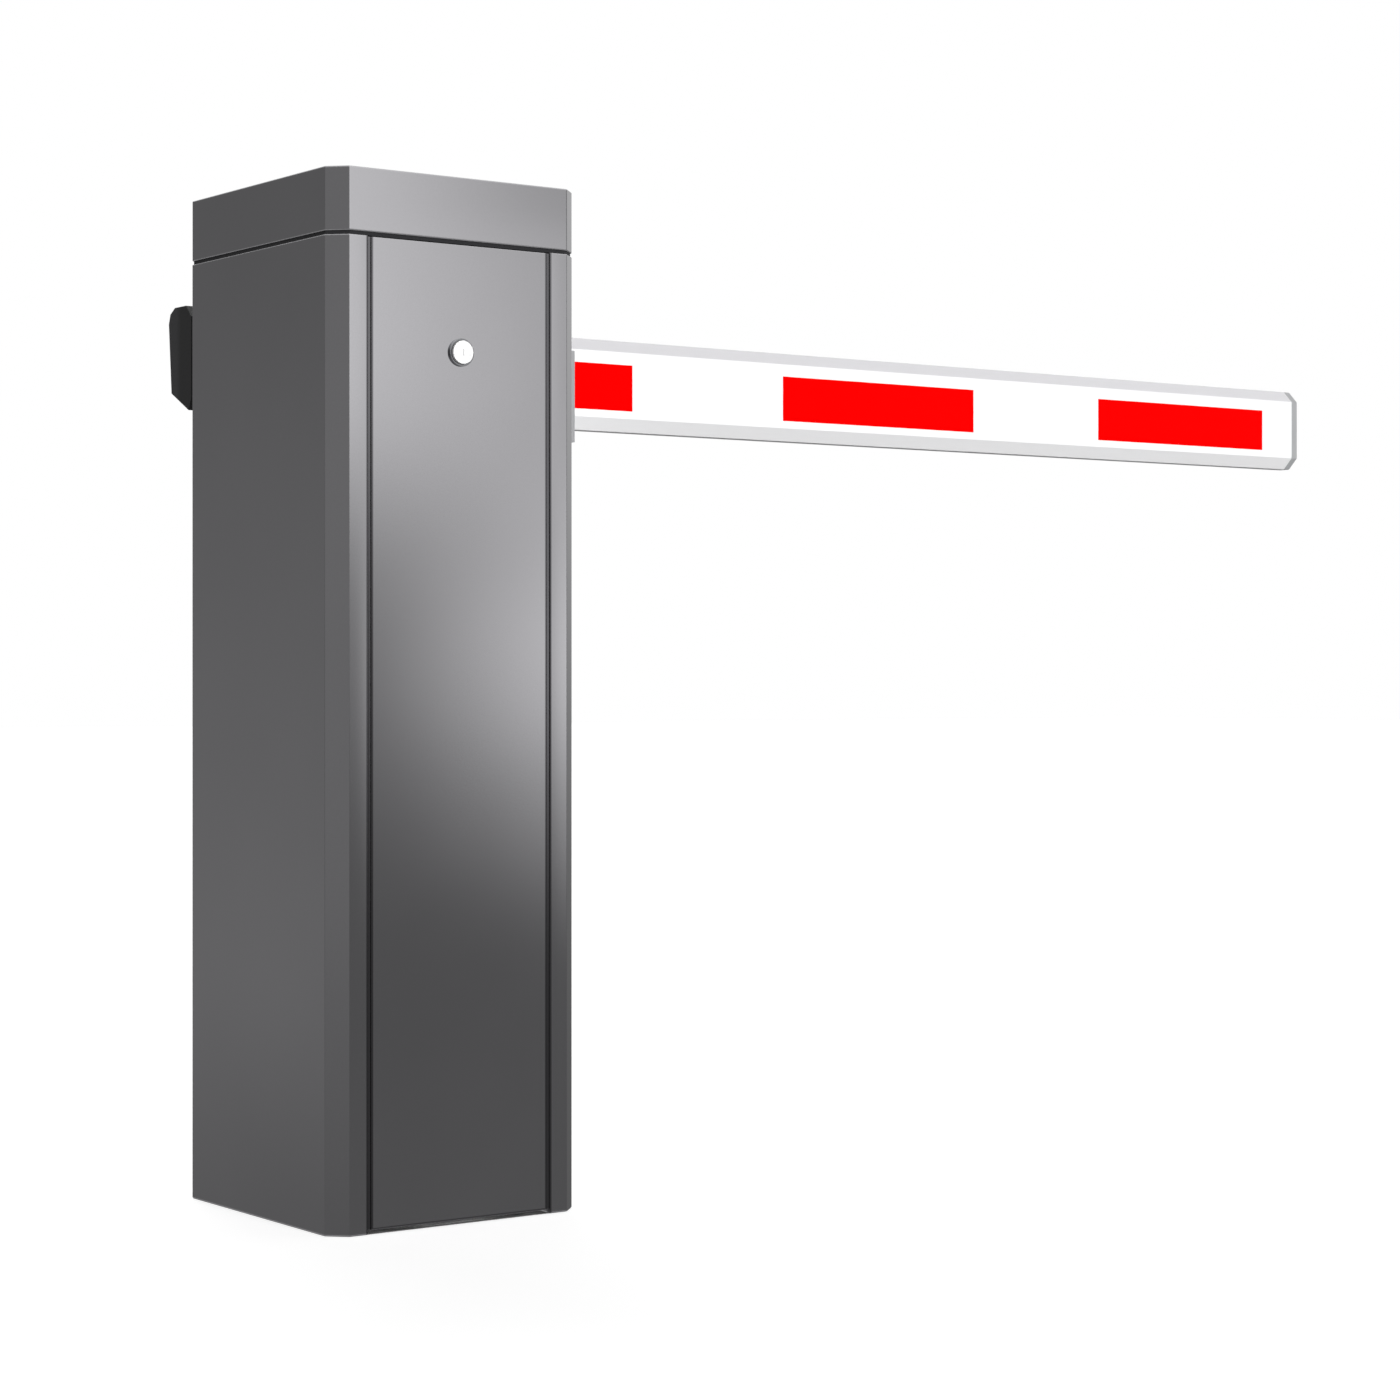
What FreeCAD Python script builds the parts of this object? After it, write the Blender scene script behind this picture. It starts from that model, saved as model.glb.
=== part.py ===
"""Parking barrier gate: sheet-steel cabinet with a spring-balanced boom and its drive.

Frame: millimetres, +Z up, origin on the ground at the centre of the cabinet's footprint.
+X runs along the closed boom and the door faces -Y. The boom shaft runs along Y.
"""
import FreeCAD, Part
import math
import os
from types import SimpleNamespace

import Sketcher

Vector = FreeCAD.Vector
doc = FreeCAD.newDocument("ParkingBarrier")
nodes = []

SIZES = {
    # cabinet, cap and door
    "cab_wide": 278, "cab_deep": 305, "cab_tall": 1003, "cab_bevel": 17, "wall": 3,
    "cap_tall": 60.5, "seam": 3.5, "rim_wide": 20, "base_thick": 8, "opening_wide": 204,
    "jamb_deep": 27.5, "frame_thick": 3, "frame_lip": 14, "seal_wide": 6, "door_gap": 3.6,
    "door_foot": 3.5, "door_drop": 1, "door_deep": 22, "door_sheet": 2.5, "channel_low": 300,
    "channel_high": 620, "channel_tall": 40, "channel_deep": 9, "hinge_x": 54, "hinge_y": -143,
    "hinge_z": 14, "hinge_pin": 6, "knuckle": 12,
    # anchor holes and cable entry
    "anchor_pitch_x": 210, "anchor_pitch_y": 210, "anchor_hole": 14, "anchor_y": 10,
    "cable_x": 70, "cable_y": 75, "cable_hole": 50, "conduit_dia": 28, "conduit_bore": 20,
    "conduit_top": 240,
    # lock
    "lock_z": 835, "collar_dia": 26.8, "collar_stand": 2.5, "disc_dia": 22.4, "disc_stand": 5,
    "barrel_dia": 20, "core_dia": 14, "tongue_y": -124, "tongue_thick": 3,
    # boom and its holder
    "shaft_z": 852, "shaft_dia": 40, "run_fit": 0.05, "boom_gap": 50, "boom_rise": 2,
    "boom_tall": 103, "boom_thick": 45, "boom_bevel": 14, "boom_wall": 3, "boom_start": -92,
    "boom_end": 1513.5, "tail_plate": 11, "tail_collar": 3, "tip_rim": 10.5, "plug_long": 25,
    "sticker_drop": 0.8, "sticker_tall": 52, "sticker_long": 294, "sticker_gap": 208.5,
    "sticker_last": 1457.5, "sticker_first": 446, "film": 0.5, "holder_start": -75,
    "holder_end": 364, "holder_web": 6, "holder_foot": 786.5, "holder_shelf": 8,
    "holder_tall": 102, "clamp_bolt": 12, "clamp_first": 80, "clamp_last": 325, "pad_thick": 8,
    "clamp_thick": 4, "clamp_start": -70, "clamp_end": 350, "clamp_half": 31,
    "flange_thick": 10, "flange_dia": 130, "flange_bolt": 10, "flange_circle": 48,
    # bearings and the frame inside the cabinet
    "insert_dia": 62, "boss_dia": 74, "unit_half": 46, "unit_bolt": 11, "unit_grid": 34,
    "bolt_dia": 9, "rear_y": 141.5, "rear_thick": 8, "rear_half": 110, "rear_bolt_x": 95,
    "rear_bolt_z": 60, "beam_y": -68, "beam_thick": 8, "beam_half": 52, "tab_x": 47,
    "motor_plate_y": 12, "motor_plate_low": 500, "motor_plate_high": 640, "end_thick": 6,
    "stop_y": 98, "stop_deep": 14,
    # crank drive
    "drive_drop": 292, "crank_throw": 70, "out_dia": 25, "pin_dia": 14, "arm_y": 98,
    "arm_thick": 12, "arm_wide": 30, "arm_eye": 17, "rod_y": 85, "rod_thick": 12, "rod_eye": 15,
    "stop_arm": 75, "stop_arm_half": 8,
    # gearmotor
    "worm_centre": 49.5, "worm_y": 46, "worm_module": 2.5, "wheel_teeth": 30, "wheel_face": 12,
    "case_left": -64, "case_right": 86, "case_y": 20, "case_deep": 52, "case_low": 505,
    "case_high": 615, "case_wall": 6, "lid_thick": 4, "axle_dia": 16, "axle_low": 345,
    "axle_high": 640, "motor_dia": 64, "motor_low": 342, "motor_top": 490, "motor_wall": 3,
    "rotor_dia": 42, "rotor_low": 375, "rotor_high": 455, "knob_dia": 48, "knob_low": 622,
    # balance springs
    "lever_throw": 40, "lever_pin": 12, "rod_drop": 200, "yoke_dia": 12, "yoke_half": 27,
    "spring_y": -24, "spring_pitch": 38, "spring_dia": 28, "spring_wire": 4, "spring_foot": 140,
    "bridge_top": 68, "adjuster_dia": 10,
    # controls
    "sheet_y": -84, "sheet_thick": 3, "sheet_low": 180, "sheet_high": 470, "box_half": 85,
    "box_deep": 36, "box_low": 300, "box_high": 460, "box_wall": 3, "board_y": -96,
    "rail_low": 235, "rail_tall": 35, "rail_deep": 7.5, "breaker_left": -60,
    "breaker_wide": 36, "toggle_y": -118, "toggle_z": 252.5, "toggle_dia": 18,
}


class Dim:
    """A size that keeps the sheet expression it was worked out from."""

    def __init__(self, number, text):
        self.number = float(number)
        self.text = text

    def __add__(self, other):
        other = dim(other)
        return Dim(self.number + other.number, f"({self.text} + {other.text})")

    def __sub__(self, other):
        other = dim(other)
        return Dim(self.number - other.number, f"({self.text} - {other.text})")

    def __mul__(self, other):
        other = dim(other)
        return Dim(self.number * other.number, f"({self.text} * {other.text})")

    def __truediv__(self, other):
        other = dim(other)
        return Dim(self.number / other.number, f"({self.text} / {other.text})")

    def __neg__(self):
        return Dim(-self.number, f"(-1 * {self.text})")

    def __rsub__(self, other):
        return dim(other) - self

    __radd__ = __add__
    __rmul__ = __mul__


def dim(size):
    return size if isinstance(size, Dim) else Dim(size, f"({float(size)})")


def make_sheet():
    sheet = doc.addObject("Spreadsheet::Sheet", "Sizes")
    for row, (alias, number) in enumerate(SIZES.items(), 1):
        sheet.set(f"A{row}", alias)
        sheet.set(f"B{row}", str(number))
        sheet.setAlias(f"B{row}", alias)
    doc.recompute()
    return SimpleNamespace(**{a: Dim(n, "Sizes." + a) for a, n in SIZES.items()})


s = make_sheet()


# ---- building blocks -------------------------------------------------------------------

def bind(obj, prop, size):
    obj.setExpression(prop, dim(size).text)


def put(obj, x, y, z):
    for axis, size in zip("xyz", (x, y, z)):
        bind(obj, "Placement.Base." + axis, size)


def node(name, obj):
    """Name a finished piece and list it for writing."""
    obj.Label = name
    nodes.append(obj)
    return obj


def box(x, y, z):
    """A block between (low, high) limits on each axis."""
    block = doc.addObject("Part::Box", "block")
    for prop, (low, high) in zip(("Length", "Width", "Height"), (x, y, z)):
        bind(block, prop, dim(high) - low)
    put(block, x[0], y[0], z[0])
    return block


TURN = {"X": FreeCAD.Rotation(Vector(0, 1, 0), 90), "Y": FreeCAD.Rotation(Vector(1, 0, 0), -90),
        "Z": FreeCAD.Rotation()}


def along(obj, axis, centre, low):
    """Lay a primitive along an axis; centre holds the other two coordinates in x, y, z order."""
    obj.Placement = FreeCAD.Placement(Vector(), TURN[axis])
    place = list(centre)
    place.insert("XYZ".index(axis), low)
    put(obj, *place)
    return obj


def rod(axis, centre, radius, low, high):
    bar = doc.addObject("Part::Cylinder", "rod")
    bind(bar, "Radius", radius)
    bind(bar, "Height", dim(high) - low)
    return along(bar, axis, centre, low)


def hexagon(axis, centre, radius, low, high):
    head = doc.addObject("Part::Prism", "hexagon")
    head.Polygon = 6
    bind(head, "Circumradius", radius)
    bind(head, "Height", dim(high) - low)
    return along(head, axis, centre, low)


def fuse(*pieces):
    whole = doc.addObject("Part::MultiFuse", "fused")
    whole.Shapes = list(pieces)
    whole.Refine = True
    return whole


def cut(base, *tools):
    left = doc.addObject("Part::Cut", "cut")
    left.Base = base
    left.Tool = tools[0] if len(tools) == 1 else fuse(*tools)
    left.Refine = True
    return left


def tube(axis, centre, outer, inner, low, high):
    return cut(rod(axis, centre, outer, low, high), rod(axis, centre, inner, low, high))


def bolt(axis, centre, radius, head, low, high, head_thick):
    """A hexagon-head bolt from low to high; a negative head_thick puts the head at the high end."""
    shank = rod(axis, centre, radius, low, high)
    if head_thick > 0:
        return fuse(shank, hexagon(axis, centre, head, low, dim(low) + head_thick))
    return fuse(shank, hexagon(axis, centre, head, dim(high) + head_thick, high))


def turn(obj, axis, degrees, centre):
    """Turn a finished piece about a point of the model."""
    turned = doc.addObject("Part::Compound", "turned")
    turned.Links = [obj]
    turned.Placement = FreeCAD.Placement(Vector(), FreeCAD.Rotation(axis, degrees), centre)
    return turned


def origin_plane(body, role):
    return next(f for f in body.Origin.OriginFeatures if f.Role == role)


def new_sketch(body, plane):
    sketch = body.newObject("Sketcher::SketchObject", "outline")
    sketch.AttachmentSupport = [(origin_plane(body, plane + "_Plane"), "")]
    sketch.MapMode = "FlatFace"
    return sketch


def fix_point(sketch, index, corner, across, up):
    """Tie one sketch point to the origin by its two bound distances."""
    for kind, size in (("DistanceX", dim(across)), ("DistanceY", dim(up))):
        number = sketch.addConstraint(Sketcher.Constraint(kind, -1, 1, index, corner, size.number))
        sketch.setExpression(f"Constraints[{number}]", size.text)


def polygon(sketch, points):
    start = sketch.GeometryCount
    spots = [Vector(dim(a).number, dim(b).number, 0) for a, b in points]
    count = len(spots)
    lines = [Part.LineSegment(spots[i], spots[(i + 1) % count]) for i in range(count)]
    sketch.addGeometry(lines, False)
    sketch.addConstraint([
        Sketcher.Constraint("Coincident", start + i, 2, start + (i + 1) % count, 1)
        for i in range(count)])
    for i, (across, up) in enumerate(points):
        fix_point(sketch, start + i, 1, across, up)


def circle(sketch, across, up, radius):
    index = sketch.GeometryCount
    centre = Vector(dim(across).number, dim(up).number, 0)
    sketch.addGeometry(Part.Circle(centre, Vector(0, 0, 1), dim(radius).number), False)
    number = sketch.addConstraint(Sketcher.Constraint("Radius", index, dim(radius).number))
    sketch.setExpression(f"Constraints[{number}]", dim(radius).text)
    fix_point(sketch, index, 3, across, up)


def pad(plane, loops, low, high, holes=()):
    """A body with one padded sketch on an origin plane, from low to high along its normal."""
    body = doc.addObject("PartDesign::Body", "body")
    sketch = new_sketch(body, plane)
    for points in loops:
        polygon(sketch, points)
    for across, up, radius in holes:
        circle(sketch, across, up, radius)
    solid = body.newObject("PartDesign::Pad", "pad")
    solid.Profile = sketch
    bind(solid, "Length", dim(high) - low)
    axis, place = {"XY": ("z", low), "XZ": ("y", high), "YZ": ("x", low)}[plane]
    bind(body, "Placement.Base." + axis, place)
    return body


def rectangle(low_a, high_a, low_b, high_b):
    return [(low_a, low_b), (high_a, low_b), (high_a, high_b), (low_a, high_b)]


def bevelled(inset, half_a, half_b, bevel, up=0):
    """A rectangle with bevelled corners, centred on (0, up), shrunk by inset all round."""
    slide = dim(inset) * (math.sqrt(2) - 1)
    a, b = dim(half_a) - inset, dim(half_b) - inset
    flat_a, flat_b = dim(half_a) - bevel - slide, dim(half_b) - bevel - slide
    quarter = [(a, flat_b), (flat_a, b)]
    ring = [*quarter, *[(-x, y) for x, y in reversed(quarter)]]
    ring += [(-x, -y) for x, y in quarter] + [(x, -y) for x, y in reversed(quarter)]
    return [(x, y + up) for x, y in ring]


def link(centre, throw, eye, width, low, high, degrees):
    """A flat arm between Y = low and high with round ends, turned from +X by degrees."""
    x, z = dim(centre[0]), dim(centre[1])
    half = dim(width) / 2
    solid = fuse(rod("Y", (x, z), eye, low, high), rod("Y", (x + throw, z), eye, low, high),
                 box((x, x + throw), (low, high), (z - half, z + half)))
    return turn(solid, Vector(0, -1, 0), degrees, Vector(x.number, 0, z.number))


def polar(centre, radius, degrees):
    """The (x, z) point at radius and angle from +X towards +Z about centre."""
    across = round(math.cos(math.radians(degrees)), 12)
    up = round(math.sin(math.radians(degrees)), 12)
    return dim(centre[0]) + dim(radius) * across, dim(centre[1]) + dim(radius) * up


# ---- shared places ---------------------------------------------------------------------

BOTH = (-1, 1)
CUT = 1                                    # how far a cutting tool runs past a face
half_w, half_d = s.cab_wide / 2, s.cab_deep / 2
inner_x, inner_back = half_w - s.wall, half_d - s.wall
body_top = s.cab_tall - s.cap_tall - s.seam
jamb = s.opening_wide / 2
frame_y = s.jamb_deep - half_d
seal_y = frame_y - s.frame_thick
door_half = jamb - s.door_gap
door_rear = s.door_deep - half_d
door_skin = s.door_sheet - half_d
door_top = body_top - s.door_drop
shaft = (0, s.shaft_z)
shaft_r, out_r, pin_r = s.shaft_dia / 2, s.out_dia / 2, s.pin_dia / 2
shaft_room = shaft_r + 4
crank = (0, s.shaft_z - s.drive_drop)
boom_y = half_d + s.boom_gap
boom_back = boom_y + s.boom_thick
boom_z = s.shaft_z + s.boom_rise
boom_foot, boom_head = boom_z - s.boom_tall / 2, boom_z + s.boom_tall / 2
holder_y = boom_y - s.holder_web
flange_y = holder_y - s.flange_thick
clamp_y = boom_back + s.pad_thick
arm_back, rod_back = s.arm_y + s.arm_thick, s.rod_y + s.rod_thick
rear_back, beam_back = s.rear_y + s.rear_thick, s.beam_y + s.beam_thick
plate_back = s.motor_plate_y + s.beam_thick
case_back = s.case_y + s.case_deep
axle = (s.worm_centre, s.worm_y)
axle_r = s.axle_dia / 2
sheet_back = s.sheet_y + s.sheet_thick
clamp_x = [s.clamp_first + (s.clamp_last - s.clamp_first) / 3 * k for k in range(4)]
unit_bolts = [(s.unit_grid * i, s.shaft_z + s.unit_grid * j) for i in BOTH for j in BOTH]
wall_bolts = [(s.rear_bolt_x * i, s.shaft_z + s.rear_bolt_z * j) for i in BOTH for j in BOTH]
case_bolts = [(x, z) for x in (s.case_left + 8, s.case_right - 8)
              for z in (s.case_low + 15, s.case_high - 15)]
beam_side_z = [s.shaft_z + 30 * j for j in BOTH]
plate_side_z = [s.motor_plate_low + 30, s.motor_plate_high - 30]
BEAM_SIDE_Y, PLATE_SIDE_Y = -35, 40        # bolts through the side walls
DRIVE_ARM, SPRING_ARM = -45, 180           # arms on the shaft, degrees from +X towards +Z


def drilled(spots, diameter, low, high):
    """Cutting rods along Y at the given (x, z) spots."""
    return [rod("Y", spot, diameter / 2, dim(low) - CUT, dim(high) + CUT) for spot in spots]


def inner_outline():
    """Plan of the space inside the shell behind the door frame."""
    slide = s.wall * (math.sqrt(2) - 1)
    back_x, back_y = half_w - s.cab_bevel - slide, half_d - s.cab_bevel - slide
    return [(-inner_x, frame_y), (inner_x, frame_y), (inner_x, back_y), (back_x, inner_back),
            (-back_x, inner_back), (-inner_x, back_y)]


# ---- cabinet ---------------------------------------------------------------------------

def base_plate():
    holes = [(s.anchor_pitch_x / 2 * i, s.anchor_y + s.anchor_pitch_y / 2 * j, s.anchor_hole / 2)
             for i in BOTH for j in BOTH]
    holes.append((s.cable_x, s.cable_y, s.cable_hole / 2))
    node("base_plate", pad("XY", [inner_outline()], 0, s.base_thick, holes))


def cabinet_body():
    """The folded shell, open at the door, with jamb returns and a welded rim at the top."""
    outer = bevelled(0, half_w, half_d, s.cab_bevel)
    inner = bevelled(s.wall, half_w, half_d, s.cab_bevel)
    # both rings run anticlockwise from the +X side; the front flat is between corners 5 and 6
    loop = outer[6:] + outer[:6]
    back = list(reversed(inner[6:] + inner[:6]))
    fold, lining = jamb + s.wall, s.wall - half_d
    right = [(jamb, frame_y), (jamb, -half_d)]
    left = [(-jamb, -half_d), (-jamb, frame_y)]
    step_left = [(-fold, frame_y), (-fold, lining)]
    step_right = [(fold, lining), (fold, frame_y)]
    shell = pad("XY", [right + loop + left + step_left + back + step_right], 0, body_top)
    opening = new_sketch(shell, "XZ")
    circle(opening, 0, s.shaft_z, shaft_room)
    pocket = shell.newObject("PartDesign::Pocket", "shaft_pocket")
    pocket.Profile = opening
    pocket.Type = "ThroughAll"
    pocket.Midplane = True
    hole = rectangle(s.rim_wide - inner_x, inner_x - s.rim_wide, frame_y + s.rim_wide,
                     inner_back - s.rim_wide)
    rim = pad("XY", [inner_outline(), hole], body_top - s.wall, body_top)
    node("cabinet_body", fuse(shell, rim))


def cap():
    foot, edge = body_top + s.seam, s.rim_wide
    outer = pad("XY", [bevelled(0, half_w, half_d, s.cab_bevel)], foot, s.cab_tall)
    room = pad("XY", [bevelled(s.wall, half_w, half_d, s.cab_bevel)], foot + s.wall,
               s.cab_tall - s.wall)
    mouth = pad("XY", [rectangle(edge - half_w, half_w - edge, edge - half_d, half_d - edge)],
                foot - CUT, foot + s.wall + CUT)
    node("cap", cut(outer, room, mouth))
    set_back, seal_width = 1.5, 10.5
    ring = [bevelled(inset, half_w, half_d, s.cab_bevel) for inset in (set_back, set_back + seal_width)]
    node("cap_seal", pad("XY", ring, body_top, foot))


def door_frame():
    """Sheet frame behind the door with a keeper rail for the lock, and the seal on its front."""
    lip, foot, head = s.frame_lip, s.hinge_z - 4, body_top - s.wall
    window_foot, rail_foot, rail_head = 40, s.lock_z + 23, s.lock_z + 53
    rail = rectangle(-jamb, jamb, foot, head)
    window = rectangle(lip - jamb, jamb - lip, window_foot, rail_foot)
    above = rectangle(lip - jamb, jamb - lip, rail_head, head - s.rim_wide)
    node("door_frame", pad("XZ", [rail, window, above], seal_y, frame_y))
    edge, seal_foot = jamb - 4, 22
    rings = [rectangle(w - edge, edge - w, seal_foot + w, head - w) for w in (dim(0), s.seal_wide)]
    node("door_seal", pad("XZ", rings, door_rear, seal_y))


def door():
    """Tray-shaped door with knuckles at its foot and two channels welded across its back."""
    sheet, wide = s.door_sheet, (-door_half, door_half)
    panel = box(wide, (-half_d, door_skin), (s.door_foot, door_top))
    sides = [box(limits, (door_skin, door_rear), (s.hinge_z, door_top))
             for limits in ((-door_half, sheet - door_half), (door_half - sheet, door_half))]
    head = box(wide, (door_skin, door_rear), (door_top - sheet, door_top))
    foot = box(wide, (door_skin, s.hinge_y), (s.door_foot, s.door_foot + 2))
    knuckles = []
    for side in BOTH:
        x = (s.hinge_x * side - s.knuckle / 2, s.hinge_x * side + s.knuckle / 2)
        knuckles.append(box(x, (door_skin, s.hinge_y), (s.hinge_z - 5, s.hinge_z + 5)))
        knuckles.append(rod("X", (s.hinge_y, s.hinge_z), 5, *x))
    channels = []
    fold, back = 2, door_skin + s.channel_deep
    for low in (s.channel_low, s.channel_high):
        high = low + s.channel_tall
        bar = box((15 - door_half, door_half - 15), (door_skin, back), (low, high))
        hollow = box((14 - door_half, door_half - 14), (door_skin, back - fold),
                     (low + fold, high - fold))
        channels.append(cut(bar, hollow))
    shell = fuse(panel, *sides, head, foot, *knuckles, *channels)
    pins = rod("X", (s.hinge_y, s.hinge_z), s.hinge_pin / 2 + s.run_fit, -70, 70)
    lock_hole = rod("Y", (0, s.lock_z), s.barrel_dia / 2, -half_d - CUT, door_skin + CUT)
    node("door", cut(shell, pins, lock_hole))


def door_hinges():
    """Two cheeks and a pin at each side; the door's knuckle turns between the cheeks."""
    pieces = []
    cheek, play = 6, 2
    near, far = s.hinge_x - s.knuckle / 2 - play, s.hinge_x + s.knuckle / 2 + play
    for side in BOTH:
        for low in (near - cheek, far):
            x = sorted((low * side, (low + cheek) * side), key=lambda size: size.number)
            pieces.append(box(x, (s.hinge_y, seal_y), (s.hinge_z - 4, s.hinge_z + 4)))
            pieces.append(rod("X", (s.hinge_y, s.hinge_z), 4, *x))
        ends = sorted(((near - cheek) * side, (far + cheek) * side), key=lambda size: size.number)
        pieces.append(rod("X", (s.hinge_y, s.hinge_z), s.hinge_pin / 2, *ends))
    node("door_hinge_brackets", fuse(*pieces))


def lock():
    """Quarter-turn lock: collar and barrel fixed to the door, plug and tongue turning in it."""
    centre = (0, s.lock_z)
    face, disc_face = -half_d - s.collar_stand, -half_d - s.disc_stand
    seat, barrel_end = face + 1, -128
    plug_end, tongue_end = s.tongue_y + 4, s.tongue_y + s.tongue_thick
    collar = rod("Y", centre, s.collar_dia / 2, face, -half_d)
    barrel = rod("Y", centre, s.barrel_dia / 2, -half_d, barrel_end)
    nut = hexagon("Y", centre, 15, door_skin, door_skin + 5)
    recess = rod("Y", centre, s.disc_dia / 2 + s.run_fit, face - CUT, seat)
    bore = rod("Y", centre, s.core_dia / 2 + s.run_fit, face, barrel_end + CUT)
    node("lock_barrel", cut(fuse(collar, barrel, nut), recess, bore))
    disc = rod("Y", centre, s.disc_dia / 2, disc_face, seat)
    core = rod("Y", centre, s.core_dia / 2, disc_face, plug_end)
    slot = box((-0.6, 0.6), (disc_face - CUT, disc_face + 1.5), (s.lock_z - 3.5, s.lock_z + 3.5))
    node("lock_plug", cut(fuse(disc, core), slot))
    tongue = fuse(rod("Y", centre, 12, s.tongue_y, tongue_end),
                  box((-8, 8), (s.tongue_y, tongue_end), (s.lock_z, s.lock_z + 22)))
    node("lock_cam", cut(tongue, rod("Y", centre, s.core_dia / 2, s.tongue_y - CUT, plug_end)))


# ---- frame inside the cabinet ----------------------------------------------------------

def bearing(name, low, high, flange_low, flange_high):
    """A square flange unit with a round boss, bored for its insert."""
    side = s.unit_half
    flange = box((-side, side), (flange_low, flange_high), (s.shaft_z - side, s.shaft_z + side))
    boss = rod("Y", shaft, s.boss_dia / 2, low, high)
    seat = drilled([shaft], s.insert_dia, low, high)
    node(name, cut(fuse(flange, boss), *seat, *drilled(unit_bolts, s.unit_bolt, low, high)))


def bearings():
    flange, boss, insert = 12, 22, 21.5
    bearing("bearing_housing_rear", s.rear_y - insert, s.rear_y, s.rear_y - flange, s.rear_y)
    bearing("bearing_housing_front", s.beam_y - boss, s.beam_y, s.beam_y - flange, s.beam_y)
    inserts = [tube("Y", shaft, s.insert_dia / 2, shaft_r + s.run_fit, low, high)
               for low, high in ((s.beam_y - boss, s.beam_y), (s.rear_y - insert, s.rear_y))]
    node("bearing_inserts", fuse(*inserts))


def rear_plate():
    """Bearing plate on the back wall, with the brackets of the two end stops welded on."""
    wide = (-s.rear_half, s.rear_half)
    plate = box(wide, (s.rear_y, rear_back), (s.shaft_z - 80, s.shaft_z + 75))
    face = s.stop_y + s.stop_deep
    arms = [box((9, 27), (face, s.rear_y), (s.shaft_z + 56, s.shaft_z + 74)),
            box((-84, -66), (face, s.rear_y), (s.shaft_z - 30, s.shaft_z - 19))]
    holes = drilled([shaft], shaft_room * 2, s.rear_y, rear_back)
    holes += drilled(unit_bolts, s.unit_bolt, s.rear_y, rear_back)
    holes += drilled(wall_bolts, s.bolt_dia, s.rear_y, rear_back)
    node("rear_plate", cut(fuse(plate, *arms), *holes))
    touch = s.stop_arm_half + 0.3
    at_rest = box((touch, 27), (s.stop_y, face), (s.shaft_z + 58, s.shaft_z + 72))
    when_open = box((-82, -68), (s.stop_y, face), (s.shaft_z - 26, s.shaft_z - touch))
    node("rubber_buffers", fuse(at_rest, when_open))


def cross_member(front, back, low, high, flange_end):
    """A plate across the cabinet with a flange against each side wall."""
    plate = box((-inner_x, inner_x), (front, back), (low, high))
    ends = [box(limits, (back, flange_end), (low, high))
            for limits in ((-inner_x, s.end_thick - inner_x), (inner_x - s.end_thick, inner_x))]
    return [plate, *ends]


def cross_beams():
    low, high = s.shaft_z - s.beam_half, s.shaft_z + s.beam_half
    beam = cross_member(s.beam_y, beam_back, low, high, -10)
    tab = box((s.tab_x, s.tab_x + 3), (-112, s.beam_y), (s.shaft_z - 14, s.shaft_z + 14))
    holes = drilled([shaft], shaft_room * 2, s.beam_y, beam_back)
    holes += drilled(unit_bolts, s.unit_bolt, s.beam_y, beam_back)
    holes += [rod("X", (BEAM_SIDE_Y, z), s.bolt_dia / 2, -half_w, half_w) for z in beam_side_z]
    node("front_beam", cut(fuse(*beam, tab), *holes))
    plate = cross_member(s.motor_plate_y, plate_back, s.motor_plate_low, s.motor_plate_high, 60)
    holes = drilled(case_bolts, s.bolt_dia, s.motor_plate_y, plate_back)
    holes += [rod("X", (PLATE_SIDE_Y, z), s.bolt_dia / 2, -half_w, half_w) for z in plate_side_z]
    node("motor_plate", cut(fuse(*plate), *holes))


def frame_bolts():
    """The bolts of both bearing units, the rear plate, the gearbox and the cross members."""
    unit_r, unit_head, small_r, small_head = s.unit_bolt / 2, 9, s.bolt_dia / 2, 8
    pieces = []
    for spot in unit_bolts:
        pieces.append(bolt("Y", spot, unit_r, unit_head, s.rear_y - 19.5, rear_back - 0.5, 7))
        pieces.append(bolt("Y", spot, unit_r, unit_head, s.beam_y - 18.5, beam_back, 6.5))
    for spot in wall_bolts:
        pieces.append(bolt("Y", spot, small_r, small_head, s.rear_y - 5.5, rear_back - 0.5, 5.5))
    for spot in case_bolts:
        start = s.motor_plate_y - 5.5
        pieces.append(bolt("Y", spot, small_r, small_head, start, s.case_y + 7, 5.5))
    long, head = 11, 5
    for y, heights in ((BEAM_SIDE_Y, beam_side_z), (PLATE_SIDE_Y, plate_side_z)):
        for z in heights:
            pieces.append(bolt("X", (y, z), small_r, small_head, inner_x - long, inner_x, head))
            pieces.append(bolt("X", (y, z), small_r, small_head, -inner_x, long - inner_x, -head))
    node("frame_bolts", fuse(*pieces))


# ---- shaft, levers and crank drive -----------------------------------------------------

def main_shaft():
    node("main_shaft", rod("Y", shaft, shaft_r, -112, flange_y))
    spots = [polar(shaft, s.flange_circle, 60 * k + 30) for k in range(6)]
    disc = rod("Y", shaft, s.flange_dia / 2, flange_y, holder_y)
    node("shaft_flange", cut(disc, *drilled(spots, s.flange_bolt, flange_y, holder_y)))
    seal_r = s.insert_dia / 2
    node("shaft_seal", tube("Y", shaft, seal_r, shaft_r + s.run_fit, half_d, half_d + 8))


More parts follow.
